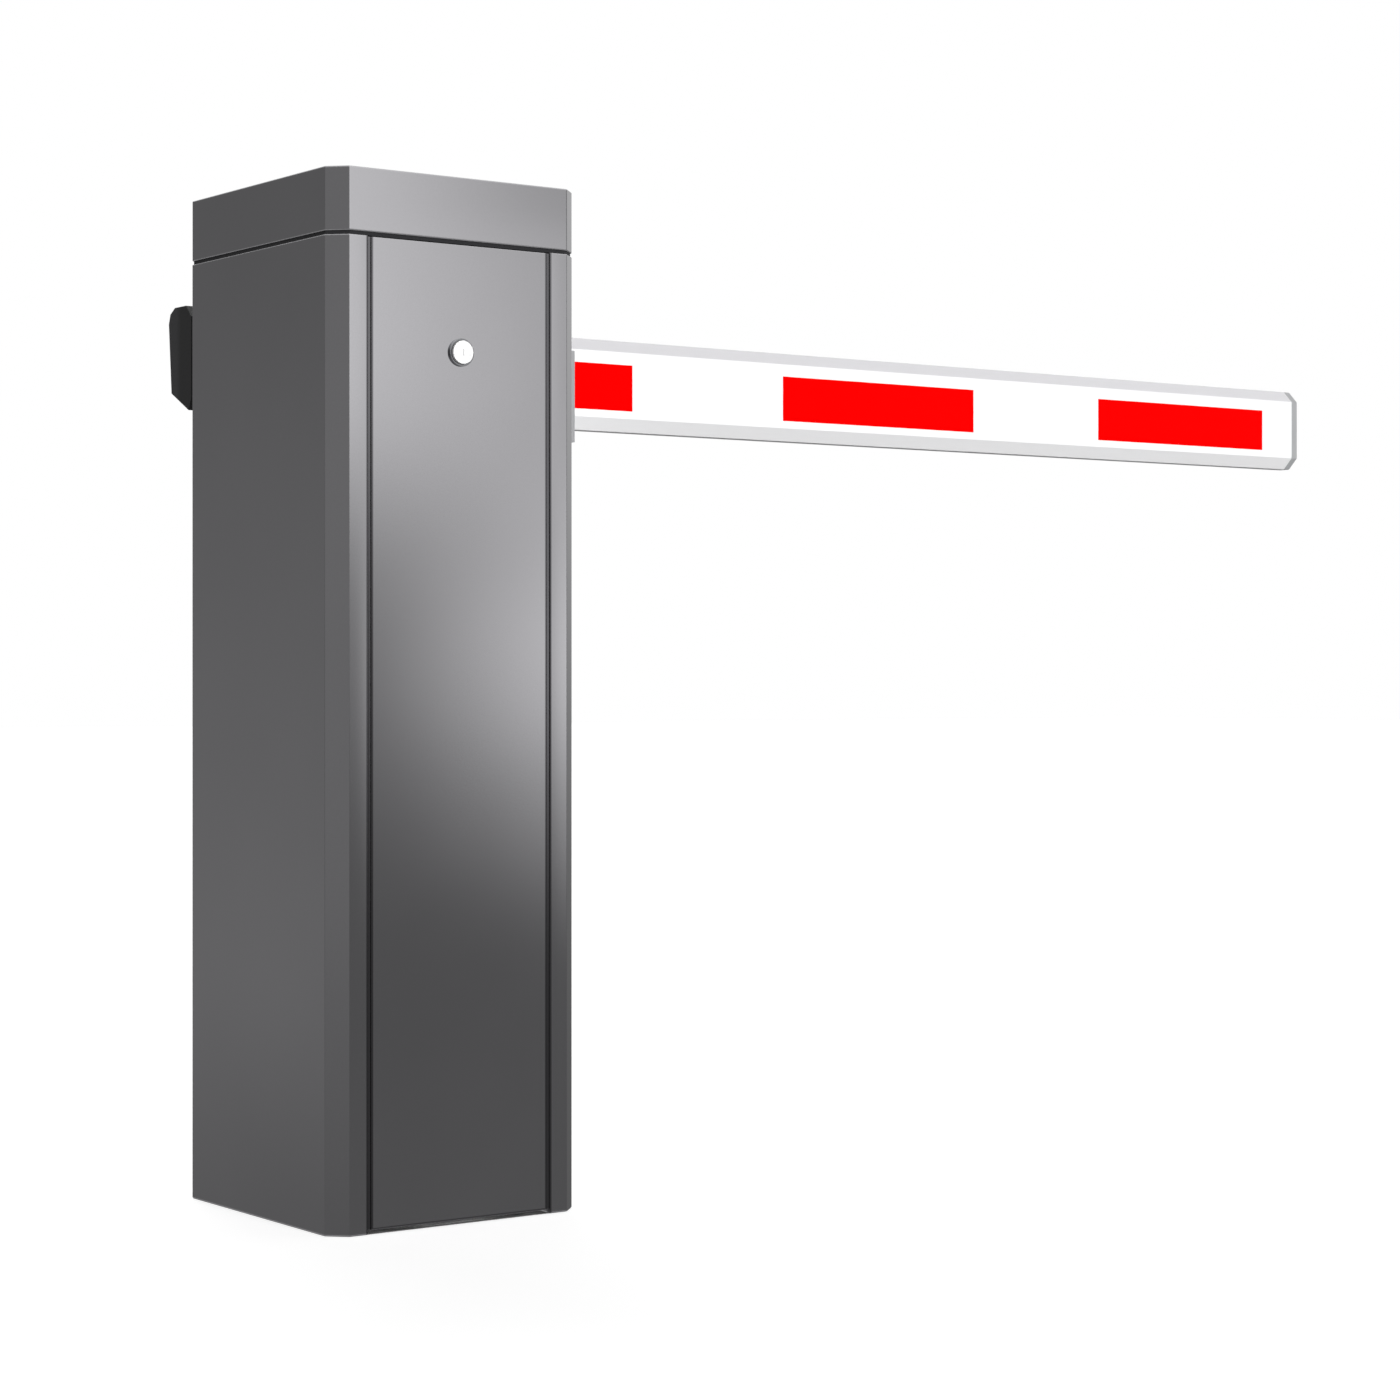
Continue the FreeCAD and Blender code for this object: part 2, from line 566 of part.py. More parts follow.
def limit_gear():
    """Two notched discs on the shaft's front end and the switches that read them."""
    disc_r, disc_thick, notch_floor = 29, 6, 23
    front, back = -108, -98
    cams = [tube("Y", shaft, disc_r, shaft_r, y, y + disc_thick) for y in (front, back)]
    slot = cut(box((0, 40), (front - 1, front + 7), (s.shaft_z - 6, s.shaft_z + 6)),
               rod("Y", shaft, notch_floor, front - 2, front + 8))
    flat = box((-6, 6), (back - 1, back + 7), (s.shaft_z - 40, s.shaft_z - 22))
    node("limit_cams", fuse(cut(cams[0], slot), cut(cams[1], flat)))
    switches = []
    for y in (front, back):
        switches.append(box((35, s.tab_x), (y - 1, y + 7), (s.shaft_z - 10, s.shaft_z + 10)))
        switches.append(rod("X", (y + 3, s.shaft_z), 2, 30, 36))
    node("limit_switches", fuse(*switches))


def drive_pin(centre):
    """Shoulder pin: its shank ends in the arm and its head holds the rod."""
    head = s.rod_y - 5.5
    return fuse(rod("Y", centre, pin_r, head + 0.5, arm_back), rod("Y", centre, 11, head, head + 5))


def rocker():
    """The bell crank on the shaft: drive arm and stop arm on one hub."""
    hub_end = arm_back + 8
    hub = rod("Y", shaft, 30, s.arm_y, hub_end)
    spot = polar(shaft, s.crank_throw, DRIVE_ARM)
    arm = link(shaft, s.crank_throw, s.arm_eye, s.arm_wide, s.arm_y, arm_back, DRIVE_ARM)
    stop = box((-s.stop_arm_half, s.stop_arm_half), (s.arm_y, arm_back),
               (s.shaft_z, s.shaft_z + s.stop_arm))
    bores = drilled([shaft], s.shaft_dia, s.arm_y, hub_end)
    bores += drilled([spot], s.pin_dia, s.arm_y, hub_end)
    node("rocker", cut(fuse(hub, arm, stop), *bores))
    node("rocker_pin", drive_pin(spot))


def crank_drive():
    node("output_shaft", rod("Y", crank, out_r, s.case_y + 1, arm_back + 2))
    x, z = polar(crank, s.crank_throw, DRIVE_ARM)
    hub_front = s.arm_y - 14
    hub = rod("Y", crank, 22, hub_front, arm_back)
    arm = link(crank, s.crank_throw, s.arm_eye, s.arm_wide, s.arm_y, arm_back, DRIVE_ARM)
    bores = drilled([crank], s.out_dia, hub_front, arm_back)
    bores += drilled([(x, z)], s.pin_dia, s.arm_y, arm_back)
    node("crank_arm", cut(fuse(hub, arm), *bores))
    node("crank_pin", drive_pin((x, z)))
    ends = [(x, z), (x, z + s.drive_drop)]
    bar = box((x - 8, x + 8), (s.rod_y + 1, rod_back - 1), (z, z + s.drive_drop))
    eyes = [rod("Y", end, s.rod_eye, s.rod_y, rod_back) for end in ends]
    bores = drilled(ends, s.pin_dia + s.run_fit * 2, s.rod_y, rod_back)
    node("connecting_rod", cut(fuse(bar, *eyes), *bores))


def spring_lever():
    """Forked lever on the shaft and the rod that hangs from it down to the springs' yoke."""
    pin, pin_radius = polar(shaft, s.lever_throw, SPRING_ARM), s.lever_pin / 2
    y = s.spring_y
    hub = rod("Y", shaft, 26, y - 20, y + 20)
    cheeks = [link(shaft, s.lever_throw, 14, 28, low, low + 6, SPRING_ARM) for low in (y - 12, y + 6)]
    fork_pin = rod("Y", pin, pin_radius, y - 14, y + 14)
    bore = drilled([shaft], s.shaft_dia, y - 20, y + 20)
    node("spring_lever", cut(fuse(hub, *cheeks, fork_pin), *bore))
    foot = (pin[0], pin[1] - s.rod_drop)
    low, high = y - 5.5, y + 5.5
    bar = box((pin[0] - 7, pin[0] + 7), (low, high), (foot[1], pin[1]))
    eyes = [rod("Y", end, 12, low, high) for end in (pin, foot)]
    hanger = cut(fuse(bar, *eyes), *drilled([pin], s.lever_pin + s.run_fit * 2, low, high))
    yoke = rod("Y", foot, s.yoke_dia / 2, y - s.yoke_half, y + s.yoke_half)
    node("spring_rod", fuse(hanger, yoke))


def balance_springs():
    """The pair of springs as closed coils with end plates and hooks, and their adjusters."""
    coil_r, wire, foot = s.spring_dia / 2, s.spring_wire, s.spring_foot
    spring_x = -s.lever_throw
    top = s.shaft_z - s.rod_drop - s.yoke_dia / 2 - 0.5
    hook, eye_drop, eye_r = 15, 22, 9.5
    bolt_r = s.adjuster_dia / 2
    springs, screws, bolt_holes = [], [], []
    for side in BOTH:
        y = s.spring_y + s.spring_pitch / 2 * side
        centre = (spring_x, y)
        coil = tube("Z", centre, coil_r, coil_r - wire, foot, top - hook)
        plates = [rod("Z", centre, coil_r, z, z + wire) for z in (foot, top - hook - wire)]
        hooks = [rod("Z", centre, wire / 2, top - hook - 2, top),
                 rod("Z", centre, wire / 2, foot - 12, foot + 2)]
        springs.append(fuse(coil, *plates, *hooks))
        eye = tube("Y", (spring_x, foot - eye_drop), eye_r, bolt_r, y - 3, y + 3)
        stem = rod("Z", centre, bolt_r, 38, foot - eye_drop - 7)
        nuts = [hexagon("Z", centre, eye_r, z, z + 8) for z in (s.bridge_top - 16, s.bridge_top)]
        screws.append(fuse(eye, stem, *nuts))
        bolt_holes.append(rod("Z", centre, bolt_r, s.bridge_top - 9, s.bridge_top + 1))
    node("balance_springs", fuse(*springs))
    node("spring_adjusters", fuse(*screws))
    low_x, high_x, low_y, high_y = spring_x - 32, spring_x + 32, s.spring_y - 38, s.spring_y + 38
    side_wall = 5
    bridge = box((low_x, high_x), (low_y, high_y), (s.base_thick, s.bridge_top))
    room = box((low_x - CUT, high_x + CUT), (low_y + side_wall, high_y - side_wall),
               (s.base_thick - CUT, s.bridge_top - 8))
    node("spring_anchor", cut(bridge, room, *bolt_holes))


# ---- gearmotor -------------------------------------------------------------------------

def worm_wheel():
    """Spur-cut wheel with a gap facing the worm at +X."""
    pitch_r = s.worm_module * s.wheel_teeth / 2
    blank = pad("XZ", [], s.worm_y - s.wheel_face / 2, s.worm_y + s.wheel_face / 2,
                [(0, 0, pitch_r + s.worm_module), (0, 0, out_r)])
    # straight 20 degree flanks, a little wider than half a pitch for play
    over, under, half_gap, lean = 1.2, 1.25, 0.89, math.tan(math.radians(20))
    outer, inner = pitch_r + s.worm_module * over, pitch_r - s.worm_module * under
    wide = s.worm_module * (half_gap + over * lean)
    narrow = s.worm_module * (half_gap - under * lean)
    gap = new_sketch(blank, "XZ")
    polygon(gap, [(inner, -narrow), (outer, -wide), (outer, wide), (inner, narrow)])
    pocket = blank.newObject("PartDesign::Pocket", "tooth_gap")
    pocket.Profile = gap
    pocket.Type = "ThroughAll"
    pocket.Midplane = True
    doc.recompute()
    pattern = blank.newObject("PartDesign::PolarPattern", "teeth")
    pattern.Originals = [pocket]
    pattern.Axis = (origin_plane(blank, "Y_Axis"), [""])
    pattern.Angle = 360
    bind(pattern, "Occurrences", s.wheel_teeth)
    blank.Tip = pattern
    bind(blank, "Placement.Base.z", crank[1])
    node("worm_wheel", blank)


def worm_shaft():
    """Armature shaft whose upper end is the worm."""
    lead = SIZES["worm_module"] * math.pi
    turns, root, tip = 7, 9.3, 14.5
    root_half, tip_half = 1.6, 0.6
    foot = crank[1] - lead * (turns // 2 + 0.5)
    spine = doc.addObject("Part::Helix", "thread_path")
    spine.Pitch = lead
    spine.Height = lead * turns
    spine.Radius = root
    section = doc.addObject("Part::Feature", "thread_section")
    corners = [Vector(root, 0, -root_half), Vector(tip, 0, -tip_half), Vector(tip, 0, tip_half),
               Vector(root, 0, root_half)]
    section.Shape = Part.makePolygon(corners + corners[:1])
    thread = doc.addObject("Part::Sweep", "thread")
    thread.Sections = [section]
    thread.Spine = (spine, [])
    thread.Solid = True
    thread.Frenet = True
    put(thread, *axle, foot)
    core = rod("Z", axle, root + 0.2, foot - 4, foot + lead * turns + 4)
    node("worm_shaft", fuse(core, thread, rod("Z", axle, axle_r, s.axle_low, s.axle_high)))
    knob = tube("Z", axle, s.knob_dia / 2, axle_r, s.knob_low, s.axle_high)
    node("release_knob", knob)


def motor_rotor():
    """Laminated stack with twelve winding slots."""
    low, high, count = s.rotor_low, s.rotor_high, 12
    stack = tube("Z", axle, s.rotor_dia / 2, axle_r, low, high)
    centre = Vector(axle[0].number, axle[1].number, 0)
    x, y = axle
    slots = []
    for k in range(count):
        groove = box((x - 1.5, x + 1.5), (y + 15, y + 22), (low - CUT, high + CUT))
        slots.append(turn(groove, Vector(0, 0, 1), 360 / count * k, centre))
    node("motor_rotor", cut(stack, *slots))


def gearbox():
    low, high, thick = s.case_low, s.case_high, s.case_wall
    case = box((s.case_left, s.case_right), (s.case_y, case_back), (low, high))
    room = box((s.case_left + 18, s.case_right - 14), (s.case_y + thick, case_back + CUT),
               (low + thick, high - thick))
    bores = drilled([crank], s.out_dia + s.run_fit * 2, s.case_y, s.case_y + thick)
    bores += drilled(case_bolts, s.bolt_dia, s.case_y, s.case_y + thick)
    bores.append(rod("Z", axle, axle_r + s.run_fit, low - CUT, high + CUT))
    node("gearbox_housing", cut(case, room, *bores))
    lid_back = case_back + s.lid_thick
    lid = box((s.case_left, s.case_right), (case_back, lid_back), (low, high))
    boss = rod("Y", crank, 24, lid_back - 1, lid_back + 2)
    bore = drilled([crank], s.out_dia + s.run_fit * 2, case_back, lid_back + 2)
    node("gearbox_cover", cut(fuse(lid, boss), *bore))


def motor_housing():
    """Motor can with its magnets, a bearing bell below and a square head under the gearbox."""
    can_r, run_r, magnet_r = s.motor_dia / 2, axle_r + s.run_fit, s.rotor_dia / 2 + 1.5
    bell_top, half_head = s.motor_low + 8, 34
    can = tube("Z", axle, can_r, can_r - s.motor_wall, bell_top, s.motor_top)
    bell = tube("Z", axle, can_r, run_r, s.motor_low, bell_top)
    magnets = tube("Z", axle, can_r - s.motor_wall, magnet_r, s.rotor_low - 5, s.rotor_high + 15)
    x, y = axle
    head = box((x - half_head, x + half_head), (y - 25, y + 25), (s.motor_top, s.case_low))
    neck = rod("Z", axle, run_r, s.motor_top - CUT, s.case_low + CUT)
    node("motor_housing", fuse(can, cut(head, neck), bell, magnets))


# ---- controls --------------------------------------------------------------------------

def control_plate():
    z = (s.sheet_low, s.sheet_high)
    thick, flange_back = s.sheet_thick, -62
    plate = box((-inner_x, inner_x), (s.sheet_y, sheet_back), z)
    ends = [box(x, (sheet_back, flange_back), z)
            for x in ((-inner_x, thick - inner_x), (inner_x - thick, inner_x))]
    node("control_plate", fuse(plate, *ends))


def control_box():
    """Open tray with the circuit board on four legs inside it."""
    wide, wall, front = s.box_half, s.box_wall, s.sheet_y - s.box_deep
    case = box((-wide, wide), (front, s.sheet_y), (s.box_low, s.box_high))
    room = box((wall - wide, wide - wall), (front + wall, s.sheet_y - wall),
               (s.box_low + wall, s.box_high - wall))
    window = box((12 - wide, wide - 12), (front - CUT, front + wall + CUT),
                 (s.box_low + 12, s.box_high - 12))
    gland = rod("Z", (-50, -100), 7, s.box_low - CUT, s.box_low + wall + CUT)
    node("control_box", cut(case, room, window, gland))
    board_back, half_board, top = s.board_y + 1.6, wide - 9, s.box_high - 8
    low = s.box_low + 8
    board = box((-half_board, half_board), (s.board_y, board_back), (low, top))
    relays = [box((x, x + 18), (s.board_y - 16, s.board_y), (low + 22, low + 40))
              for x in (-60, -36, -12, 12)]
    terminals = box((-60, 60), (s.board_y - 12, s.board_y), (top - 32, top - 18))
    legs = [rod("Y", ((half_board - 6) * i, z), 4, board_back, s.sheet_y - wall)
            for i in BOTH for z in (low + 6, top - 6)]
    node("circuit_board", fuse(board, *relays, terminals, *legs))


def breaker():
    """Mounting rail, circuit breaker and its toggle."""
    low, high, front = s.rail_low, s.rail_low + s.rail_tall, s.sheet_y - s.rail_deep
    half_rail, end = 90, 91
    rail = box((-half_rail, half_rail), (front, s.sheet_y), (low, high))
    groove = box((-end, end), (front + 1, s.sheet_y - 1), (low + 5, high - 5))
    mouth = box((-end, end), (front - 0.5, s.sheet_y - 0.5), (low + 8, high - 8))
    node("din_rail", cut(rail, groove, mouth))
    x = (s.breaker_left, s.breaker_left + s.breaker_wide)
    block = box(x, (s.toggle_y, front), (low - 20, high + 20))
    nose = box(x, (s.toggle_y - 4, s.toggle_y), (low + 3, high - 3))
    inner, pivot, drum_r = (x[0] + 10, x[1] - 10), (s.toggle_y, s.toggle_z), s.toggle_dia / 2
    socket = rod("X", pivot, drum_r + s.run_fit, *inner)
    window = box(inner, (s.toggle_y - 5, s.toggle_y), (low + 5, high - 5))
    node("circuit_breaker", cut(fuse(block, nose), socket, window))
    drum = rod("X", pivot, drum_r, inner[0] + 1, inner[1] - 1)
    lever = box((inner[0] + 4, inner[1] - 4), (s.toggle_y - 12, s.toggle_y),
                (s.toggle_z + 2.5, s.toggle_z + 7))
    node("breaker_toggle", fuse(drum, lever))


def transformer():
    """Laminated frame on feet with one winding round its middle limb."""
    x, y, z = (25, 85), (-62, -12), (12, 72)
    slots = [box(limits, (y[0] - CUT, y[1] + CUT), (24, 60)) for limits in ((36, 44), (66, 74))]
    core = cut(box(x, y, z), *slots)
    feet = box((17, 93), (-57, -17), (s.base_thick, z[0]))
    coil = cut(box((36, 74), (y[0] - 8, y[1] + 8), (24, 60)),
               box((44, 66), (y[0] - 9, y[1] + 9), (24, 60)))
    limb = box((44, 66), (y[0] - 6, y[1] + 6), (26, 58))
    node("transformer", fuse(core, feet, coil, limb))


def conduit():
    centre, outer = (s.cable_x, s.cable_y), s.conduit_dia / 2
    pipe = tube("Z", centre, outer, s.conduit_bore / 2, 0, s.conduit_top)
    collar = tube("Z", centre, s.cable_hole / 2 + 8, outer, s.base_thick, s.base_thick + 6)
    node("cable_conduit", fuse(pipe, collar))


# ---- boom ------------------------------------------------------------------------------

def boom_section(inset):
    half = s.boom_thick / 2
    ring = bevelled(inset, half, s.boom_tall / 2, s.boom_bevel, boom_z)
    return [(y + boom_y + half, z) for y, z in ring]


def boom():
    profile = pad("YZ", [boom_section(0), boom_section(s.boom_wall)], s.boom_start, s.boom_end)
    spots = [(x, s.shaft_z) for x in clamp_x]
    node("boom_profile", cut(profile, *drilled(spots, s.clamp_bolt, boom_y, boom_back)))
    rim = pad("YZ", [boom_section(0)], s.boom_end, s.boom_end + s.tip_rim)
    plug = pad("YZ", [boom_section(s.boom_wall)], s.boom_end - s.plug_long, s.boom_end)
    node("boom_tip_cap", fuse(rim, plug))
    tubes = [tube("Y", spot, 10, s.clamp_bolt / 2, boom_y + s.boom_wall, boom_back - s.boom_wall)
             for spot in spots]
    node("boom_spacers", fuse(*tubes))


def tail_cap():
    """Moulded end piece: an outer plate cut away at its lower back, a collar and a plug."""
    top, foot = boom_head + 2.5, boom_foot - 3
    near, far = boom_y + 1, boom_back + 7
    collar_x = s.boom_start - s.tail_collar
    outline = [(near, foot + 12), (near + 6, foot), (far - 6, foot + 20), (far, top - 16),
               (far - 3.5, top - 6), (far - 14, top), (near + 12, top), (near, top - 12)]
    plate = pad("YZ", [outline], collar_x - s.tail_plate, collar_x)
    collar = pad("YZ", [boom_section(0)], collar_x, s.boom_start)
    plug = pad("YZ", [boom_section(s.boom_wall)], s.boom_start, s.boom_start + 3)
    node("boom_tail_cap", fuse(plate, collar, plug))


def reflectors():
    """Three strips of film on each face; the first starts where the holder ends."""
    centre = s.shaft_z - s.sticker_drop
    z = (centre - s.sticker_tall / 2, centre + s.sticker_tall / 2)
    last = s.sticker_last - s.sticker_long
    middle = last - s.sticker_gap
    strips = []
    for y, start in (((boom_y - s.film, boom_y), s.holder_end + 2),
                     ((boom_back, boom_back + s.film), s.clamp_end + 2)):
        spans = [(start, s.sticker_first), (middle - s.sticker_long, middle), (last, s.sticker_last)]
        strips += [box(x, y, z) for x in spans]
    node("reflectors", fuse(*strips))


def boom_holder():
    """Cradle on the shaft's flange; the clamp plate pulls the boom against it."""
    low, top, shelf_end = s.holder_foot, s.holder_foot + s.holder_tall, clamp_y - 2
    shelf = boom_foot - s.holder_shelf
    outline = [(holder_y, low), (boom_y, low), (boom_y, shelf), (shelf_end, shelf),
               (shelf_end, boom_foot), (boom_y + s.boom_bevel, boom_foot),
               (boom_y, boom_foot + s.boom_bevel), (boom_y, top), (holder_y, top)]
    web = pad("YZ", [outline], s.holder_start, s.holder_end)
    spots = [(x, s.shaft_z) for x in clamp_x]
    circle_spots = [polar(shaft, s.flange_circle, 60 * k + 30) for k in range(6)]
    holes = drilled(spots, s.clamp_bolt, holder_y, boom_y)
    holes += drilled(circle_spots, s.flange_bolt, holder_y, boom_y - 2)
    node("boom_cradle", cut(web, *holes))
    plate_back, half = clamp_y + s.clamp_thick, s.clamp_half
    soft = box((s.clamp_start + 10, s.clamp_end - 10), (boom_back, clamp_y),
               (s.shaft_z - half + 4, s.shaft_z + half - 4))
    plate = box((s.clamp_start, s.clamp_end), (clamp_y, plate_back),
                (s.shaft_z - half, s.shaft_z + half))
    node("clamp_pad", cut(soft, *drilled(spots, s.clamp_bolt, boom_back, clamp_y)))
    node("clamp_plate", cut(plate, *drilled(spots, s.clamp_bolt, clamp_y, plate_back)))
    head, nut = 7.5, 10
    bolts = [bolt("Y", spot, s.clamp_bolt / 2, 10.5, holder_y - head, plate_back + nut + 1, head)
             for spot in spots]
    bolts += [bolt("Y", spot, s.flange_bolt / 2, 9, flange_y - 6.5, boom_y - 1, 6.5)
              for spot in circle_spots]
    node("boom_bolts", fuse(*bolts))
    nuts = [cut(hexagon("Y", spot, 10.5, plate_back, plate_back + nut),
                rod("Y", spot, s.clamp_bolt / 2, plate_back - CUT, plate_back + nut + CUT))
            for spot in spots]
    node("clamp_nuts", fuse(*nuts))


# ---- make, check, write ----------------------------------------------------------------

def build():
    for make in (base_plate, cabinet_body, cap, door_frame, door, door_hinges, lock, bearings,
                 rear_plate, cross_beams, frame_bolts, main_shaft, limit_gear, rocker, crank_drive,
                 spring_lever, balance_springs, worm_wheel, worm_shaft, motor_rotor, gearbox,
                 motor_housing, control_plate, control_box, breaker, transformer, conduit, boom,
                 tail_cap, reflectors, boom_holder):
        make()
    doc.recompute()


def check():
    faults = [o.Label for o in doc.Objects if {"Invalid", "Error"} & set(o.State)]
    faults += [o.Label for o in nodes if o.Shape.isNull() or not o.Shape.isValid()]
    if faults:
        raise RuntimeError("failed objects: " + ", ".join(faults))


def write():
    os.makedirs("parts", exist_ok=True)
    for piece in nodes:
        piece.Shape.exportStep(os.path.join("parts", piece.Label + ".step"))


build()
check()
write()
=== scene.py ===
import math

import bpy
import bmesh
from mathutils import Matrix, Vector


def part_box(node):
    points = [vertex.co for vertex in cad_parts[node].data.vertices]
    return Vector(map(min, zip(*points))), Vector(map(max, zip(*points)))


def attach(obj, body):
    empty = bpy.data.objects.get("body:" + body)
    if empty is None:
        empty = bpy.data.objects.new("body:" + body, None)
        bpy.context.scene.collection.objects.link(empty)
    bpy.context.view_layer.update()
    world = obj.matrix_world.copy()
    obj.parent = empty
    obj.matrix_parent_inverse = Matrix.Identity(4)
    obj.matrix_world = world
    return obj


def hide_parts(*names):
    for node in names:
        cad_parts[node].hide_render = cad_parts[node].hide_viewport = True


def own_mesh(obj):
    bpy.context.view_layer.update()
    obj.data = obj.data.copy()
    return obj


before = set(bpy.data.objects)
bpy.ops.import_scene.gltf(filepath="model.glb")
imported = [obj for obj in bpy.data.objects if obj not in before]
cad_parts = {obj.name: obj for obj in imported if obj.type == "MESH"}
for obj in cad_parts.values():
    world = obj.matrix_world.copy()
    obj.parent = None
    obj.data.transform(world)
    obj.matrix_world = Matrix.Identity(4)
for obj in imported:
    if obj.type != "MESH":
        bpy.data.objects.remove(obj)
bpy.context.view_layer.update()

MM = 0.001
scene = bpy.context.scene
scene.view_settings.view_transform = "Standard"


def at(node, across, along, up, *shift):
    """A point in a CAD node's box, by fractions of its sides, then moved by millimetres."""
    low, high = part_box(node)
    side = high - low
    place = low + Vector((side.x * across, side.y * along, side.z * up))
    return place + Vector(shift or (0, 0, 0)) * MM


# ---- small node helpers ----------------------------------------------------------------

class Graph:
    """A thin wrapper that adds shader nodes and links them by socket or plain value."""

    def __init__(self, tree):
        self.tree = tree

    def add(self, kind, inputs=None, **settings):
        item = self.tree.nodes.new(kind)
        for key, value in settings.items():
            setattr(item, key, value)
        for key, value in (inputs or {}).items():
            if isinstance(value, bpy.types.NodeSocket):
                self.tree.links.new(value, item.inputs[key])
            else:
                item.inputs[key].default_value = value
        return item

    def math(self, operation, a, b=0.0, clamp=False):
        item = self.add("ShaderNodeMath", {0: a, 1: b}, operation=operation, use_clamp=clamp)
        return item.outputs[0]

    def spread(self, value, low, high, out_low=0.0, out_high=1.0, smooth=False):
        kind = "SMOOTHSTEP" if smooth else "LINEAR"
        item = self.add("ShaderNodeMapRange", {"Value": value, "From Min": low, "From Max": high,
                                               "To Min": out_low, "To Max": out_high},
                        interpolation_type=kind)
        return item.outputs[0]

    def mix(self, factor, a, b):
        item = self.add("ShaderNodeMix", {0: factor}, data_type="RGBA")
        for socket, value in ((item.inputs[6], a), (item.inputs[7], b)):
            if isinstance(value, bpy.types.NodeSocket):
                self.tree.links.new(value, socket)
            else:
                socket.default_value = (*value[:3], 1.0)
        return item.outputs[2]

    def noise(self, coords, scale, detail=3.0, stretch=(1, 1, 1), rough=0.5):
        placed = self.add("ShaderNodeMapping", {"Vector": coords, "Scale": stretch}).outputs[0]
        return self.add("ShaderNodeTexNoise", {"Vector": placed, "Scale": scale, "Detail": detail,
                                               "Roughness": rough}).outputs["Fac"]


def srgb(text):
    """Linear colour from a six-digit hex string."""
    parts = [int(text[i:i + 2], 16) / 255 for i in (0, 2, 4)]
    return tuple(p / 12.92 if p <= 0.04045 else ((p + 0.055) / 1.055) ** 2.4 for p in parts)


def start_material(name):
    material = bpy.data.materials.new(name)
    material.use_nodes = True
    graph = Graph(material.node_tree)
    shader = material.node_tree.nodes["Principled BSDF"]
    coords = graph.add("ShaderNodeTexCoord").outputs["Object"]
    return material, graph, shader, coords


def wire(graph, value, shader, name):
    """Feed a shader input from a socket or a plain value."""
    if isinstance(value, bpy.types.NodeSocket):
        graph.tree.links.new(value, shader.inputs[name])
    else:
        shader.inputs[name].default_value = value


def edge_mask(graph, coords, radius, scale):
    """1 on convex and concave edges, broken up by noise."""
    soft = graph.add("ShaderNodeBevel", {"Radius": radius}, samples=4).outputs[0]
    true = graph.add("ShaderNodeNewGeometry").outputs["Normal"]
    along = graph.add("ShaderNodeVectorMath", {0: soft, 1: true}, operation="DOT_PRODUCT").outputs["Value"]
    edge = graph.spread(along, 0.995, 0.9)
    grit = graph.spread(graph.noise(coords, scale, 4.0), 0.42, 0.62)
    return graph.math("MULTIPLY", edge, grit, clamp=True)


def surface(name, colour, rough, metal=0.0, vary=0.08, grain=900.0, bump=0.02, stretch=(1, 1, 1),
            wear=None, wear_amount=0.5, coat=0.0, blotch=9.0, dust=0.0, specular=0.5):
    """A painted, plated, cast or moulded finish.

    vary shifts the colour over large blotches, grain and bump give the fine texture, stretch
    draws the grain out along an axis, and wear is the colour that shows along the edges.
    """
    material, graph, shader, coords = start_material(name)
    large = graph.noise(coords, blotch, 4.0)
    fine = graph.noise(coords, grain, 2.0, stretch)
    darker = tuple(c * (1 - vary) for c in colour)
    lighter = tuple(min(1.0, c * (1 + vary)) for c in colour)
    tone = graph.mix(graph.spread(large, 0.3, 0.7), darker, lighter)
    tone = graph.mix(graph.spread(fine, 0.35, 0.65, 0.0, 0.25), tone, darker)
    if wear:
        edge = edge_mask(graph, coords, 0.0012, 120.0)
        tone = graph.mix(graph.math("MULTIPLY", edge, wear_amount), tone, wear)
    if dust:
        up = graph.add("ShaderNodeSeparateXYZ", {0: graph.add("ShaderNodeNewGeometry").outputs["Normal"]})
        lying = graph.math("MULTIPLY", graph.spread(up.outputs["Z"], 0.6, 1.0), dust)
        tone = graph.mix(lying, tone, srgb("b8b2a6"))
    wire(graph, tone, shader, "Base Color")
    smudge = graph.spread(large, 0.3, 0.7, rough * 0.88, min(1.0, rough * 1.14))
    wire(graph, smudge, shader, "Roughness")
    shader.inputs["Metallic"].default_value = metal
    shader.inputs["Specular IOR Level"].default_value = specular
    shader.inputs["Coat Weight"].default_value = coat
    shader.inputs["Coat Roughness"].default_value = 0.08
    relief = graph.add("ShaderNodeBump", {"Height": fine, "Strength": bump, "Distance": 0.0004})
    wire(graph, relief.outputs[0], shader, "Normal")
    return material


# ---- finishes --------------------------------------------------------------------------

# Painted shade: a dark band painted on the rolled edges beside the door's gaps and at its foot,
# where the gaps fall into shade, in millimetres: (fully dark, no longer dark) as distances from
# the gap's middle, behind the door's face, above the door's foot, and above the top of the cabinet body.
BAND_BESIDE = (3.0, 4.4)
BAND_DEPTH = (3.5, 6.5)
BAND_FOOT = (1.4, 2.2)
BAND_TOP = (-0.5, 1.5)


def fade(graph, value, start, limits):
    """1 up to the first limit, 0 from the second, in millimetres past the start."""
    full, none = limits
    return graph.spread(value, start + none * MM, start + full * MM)


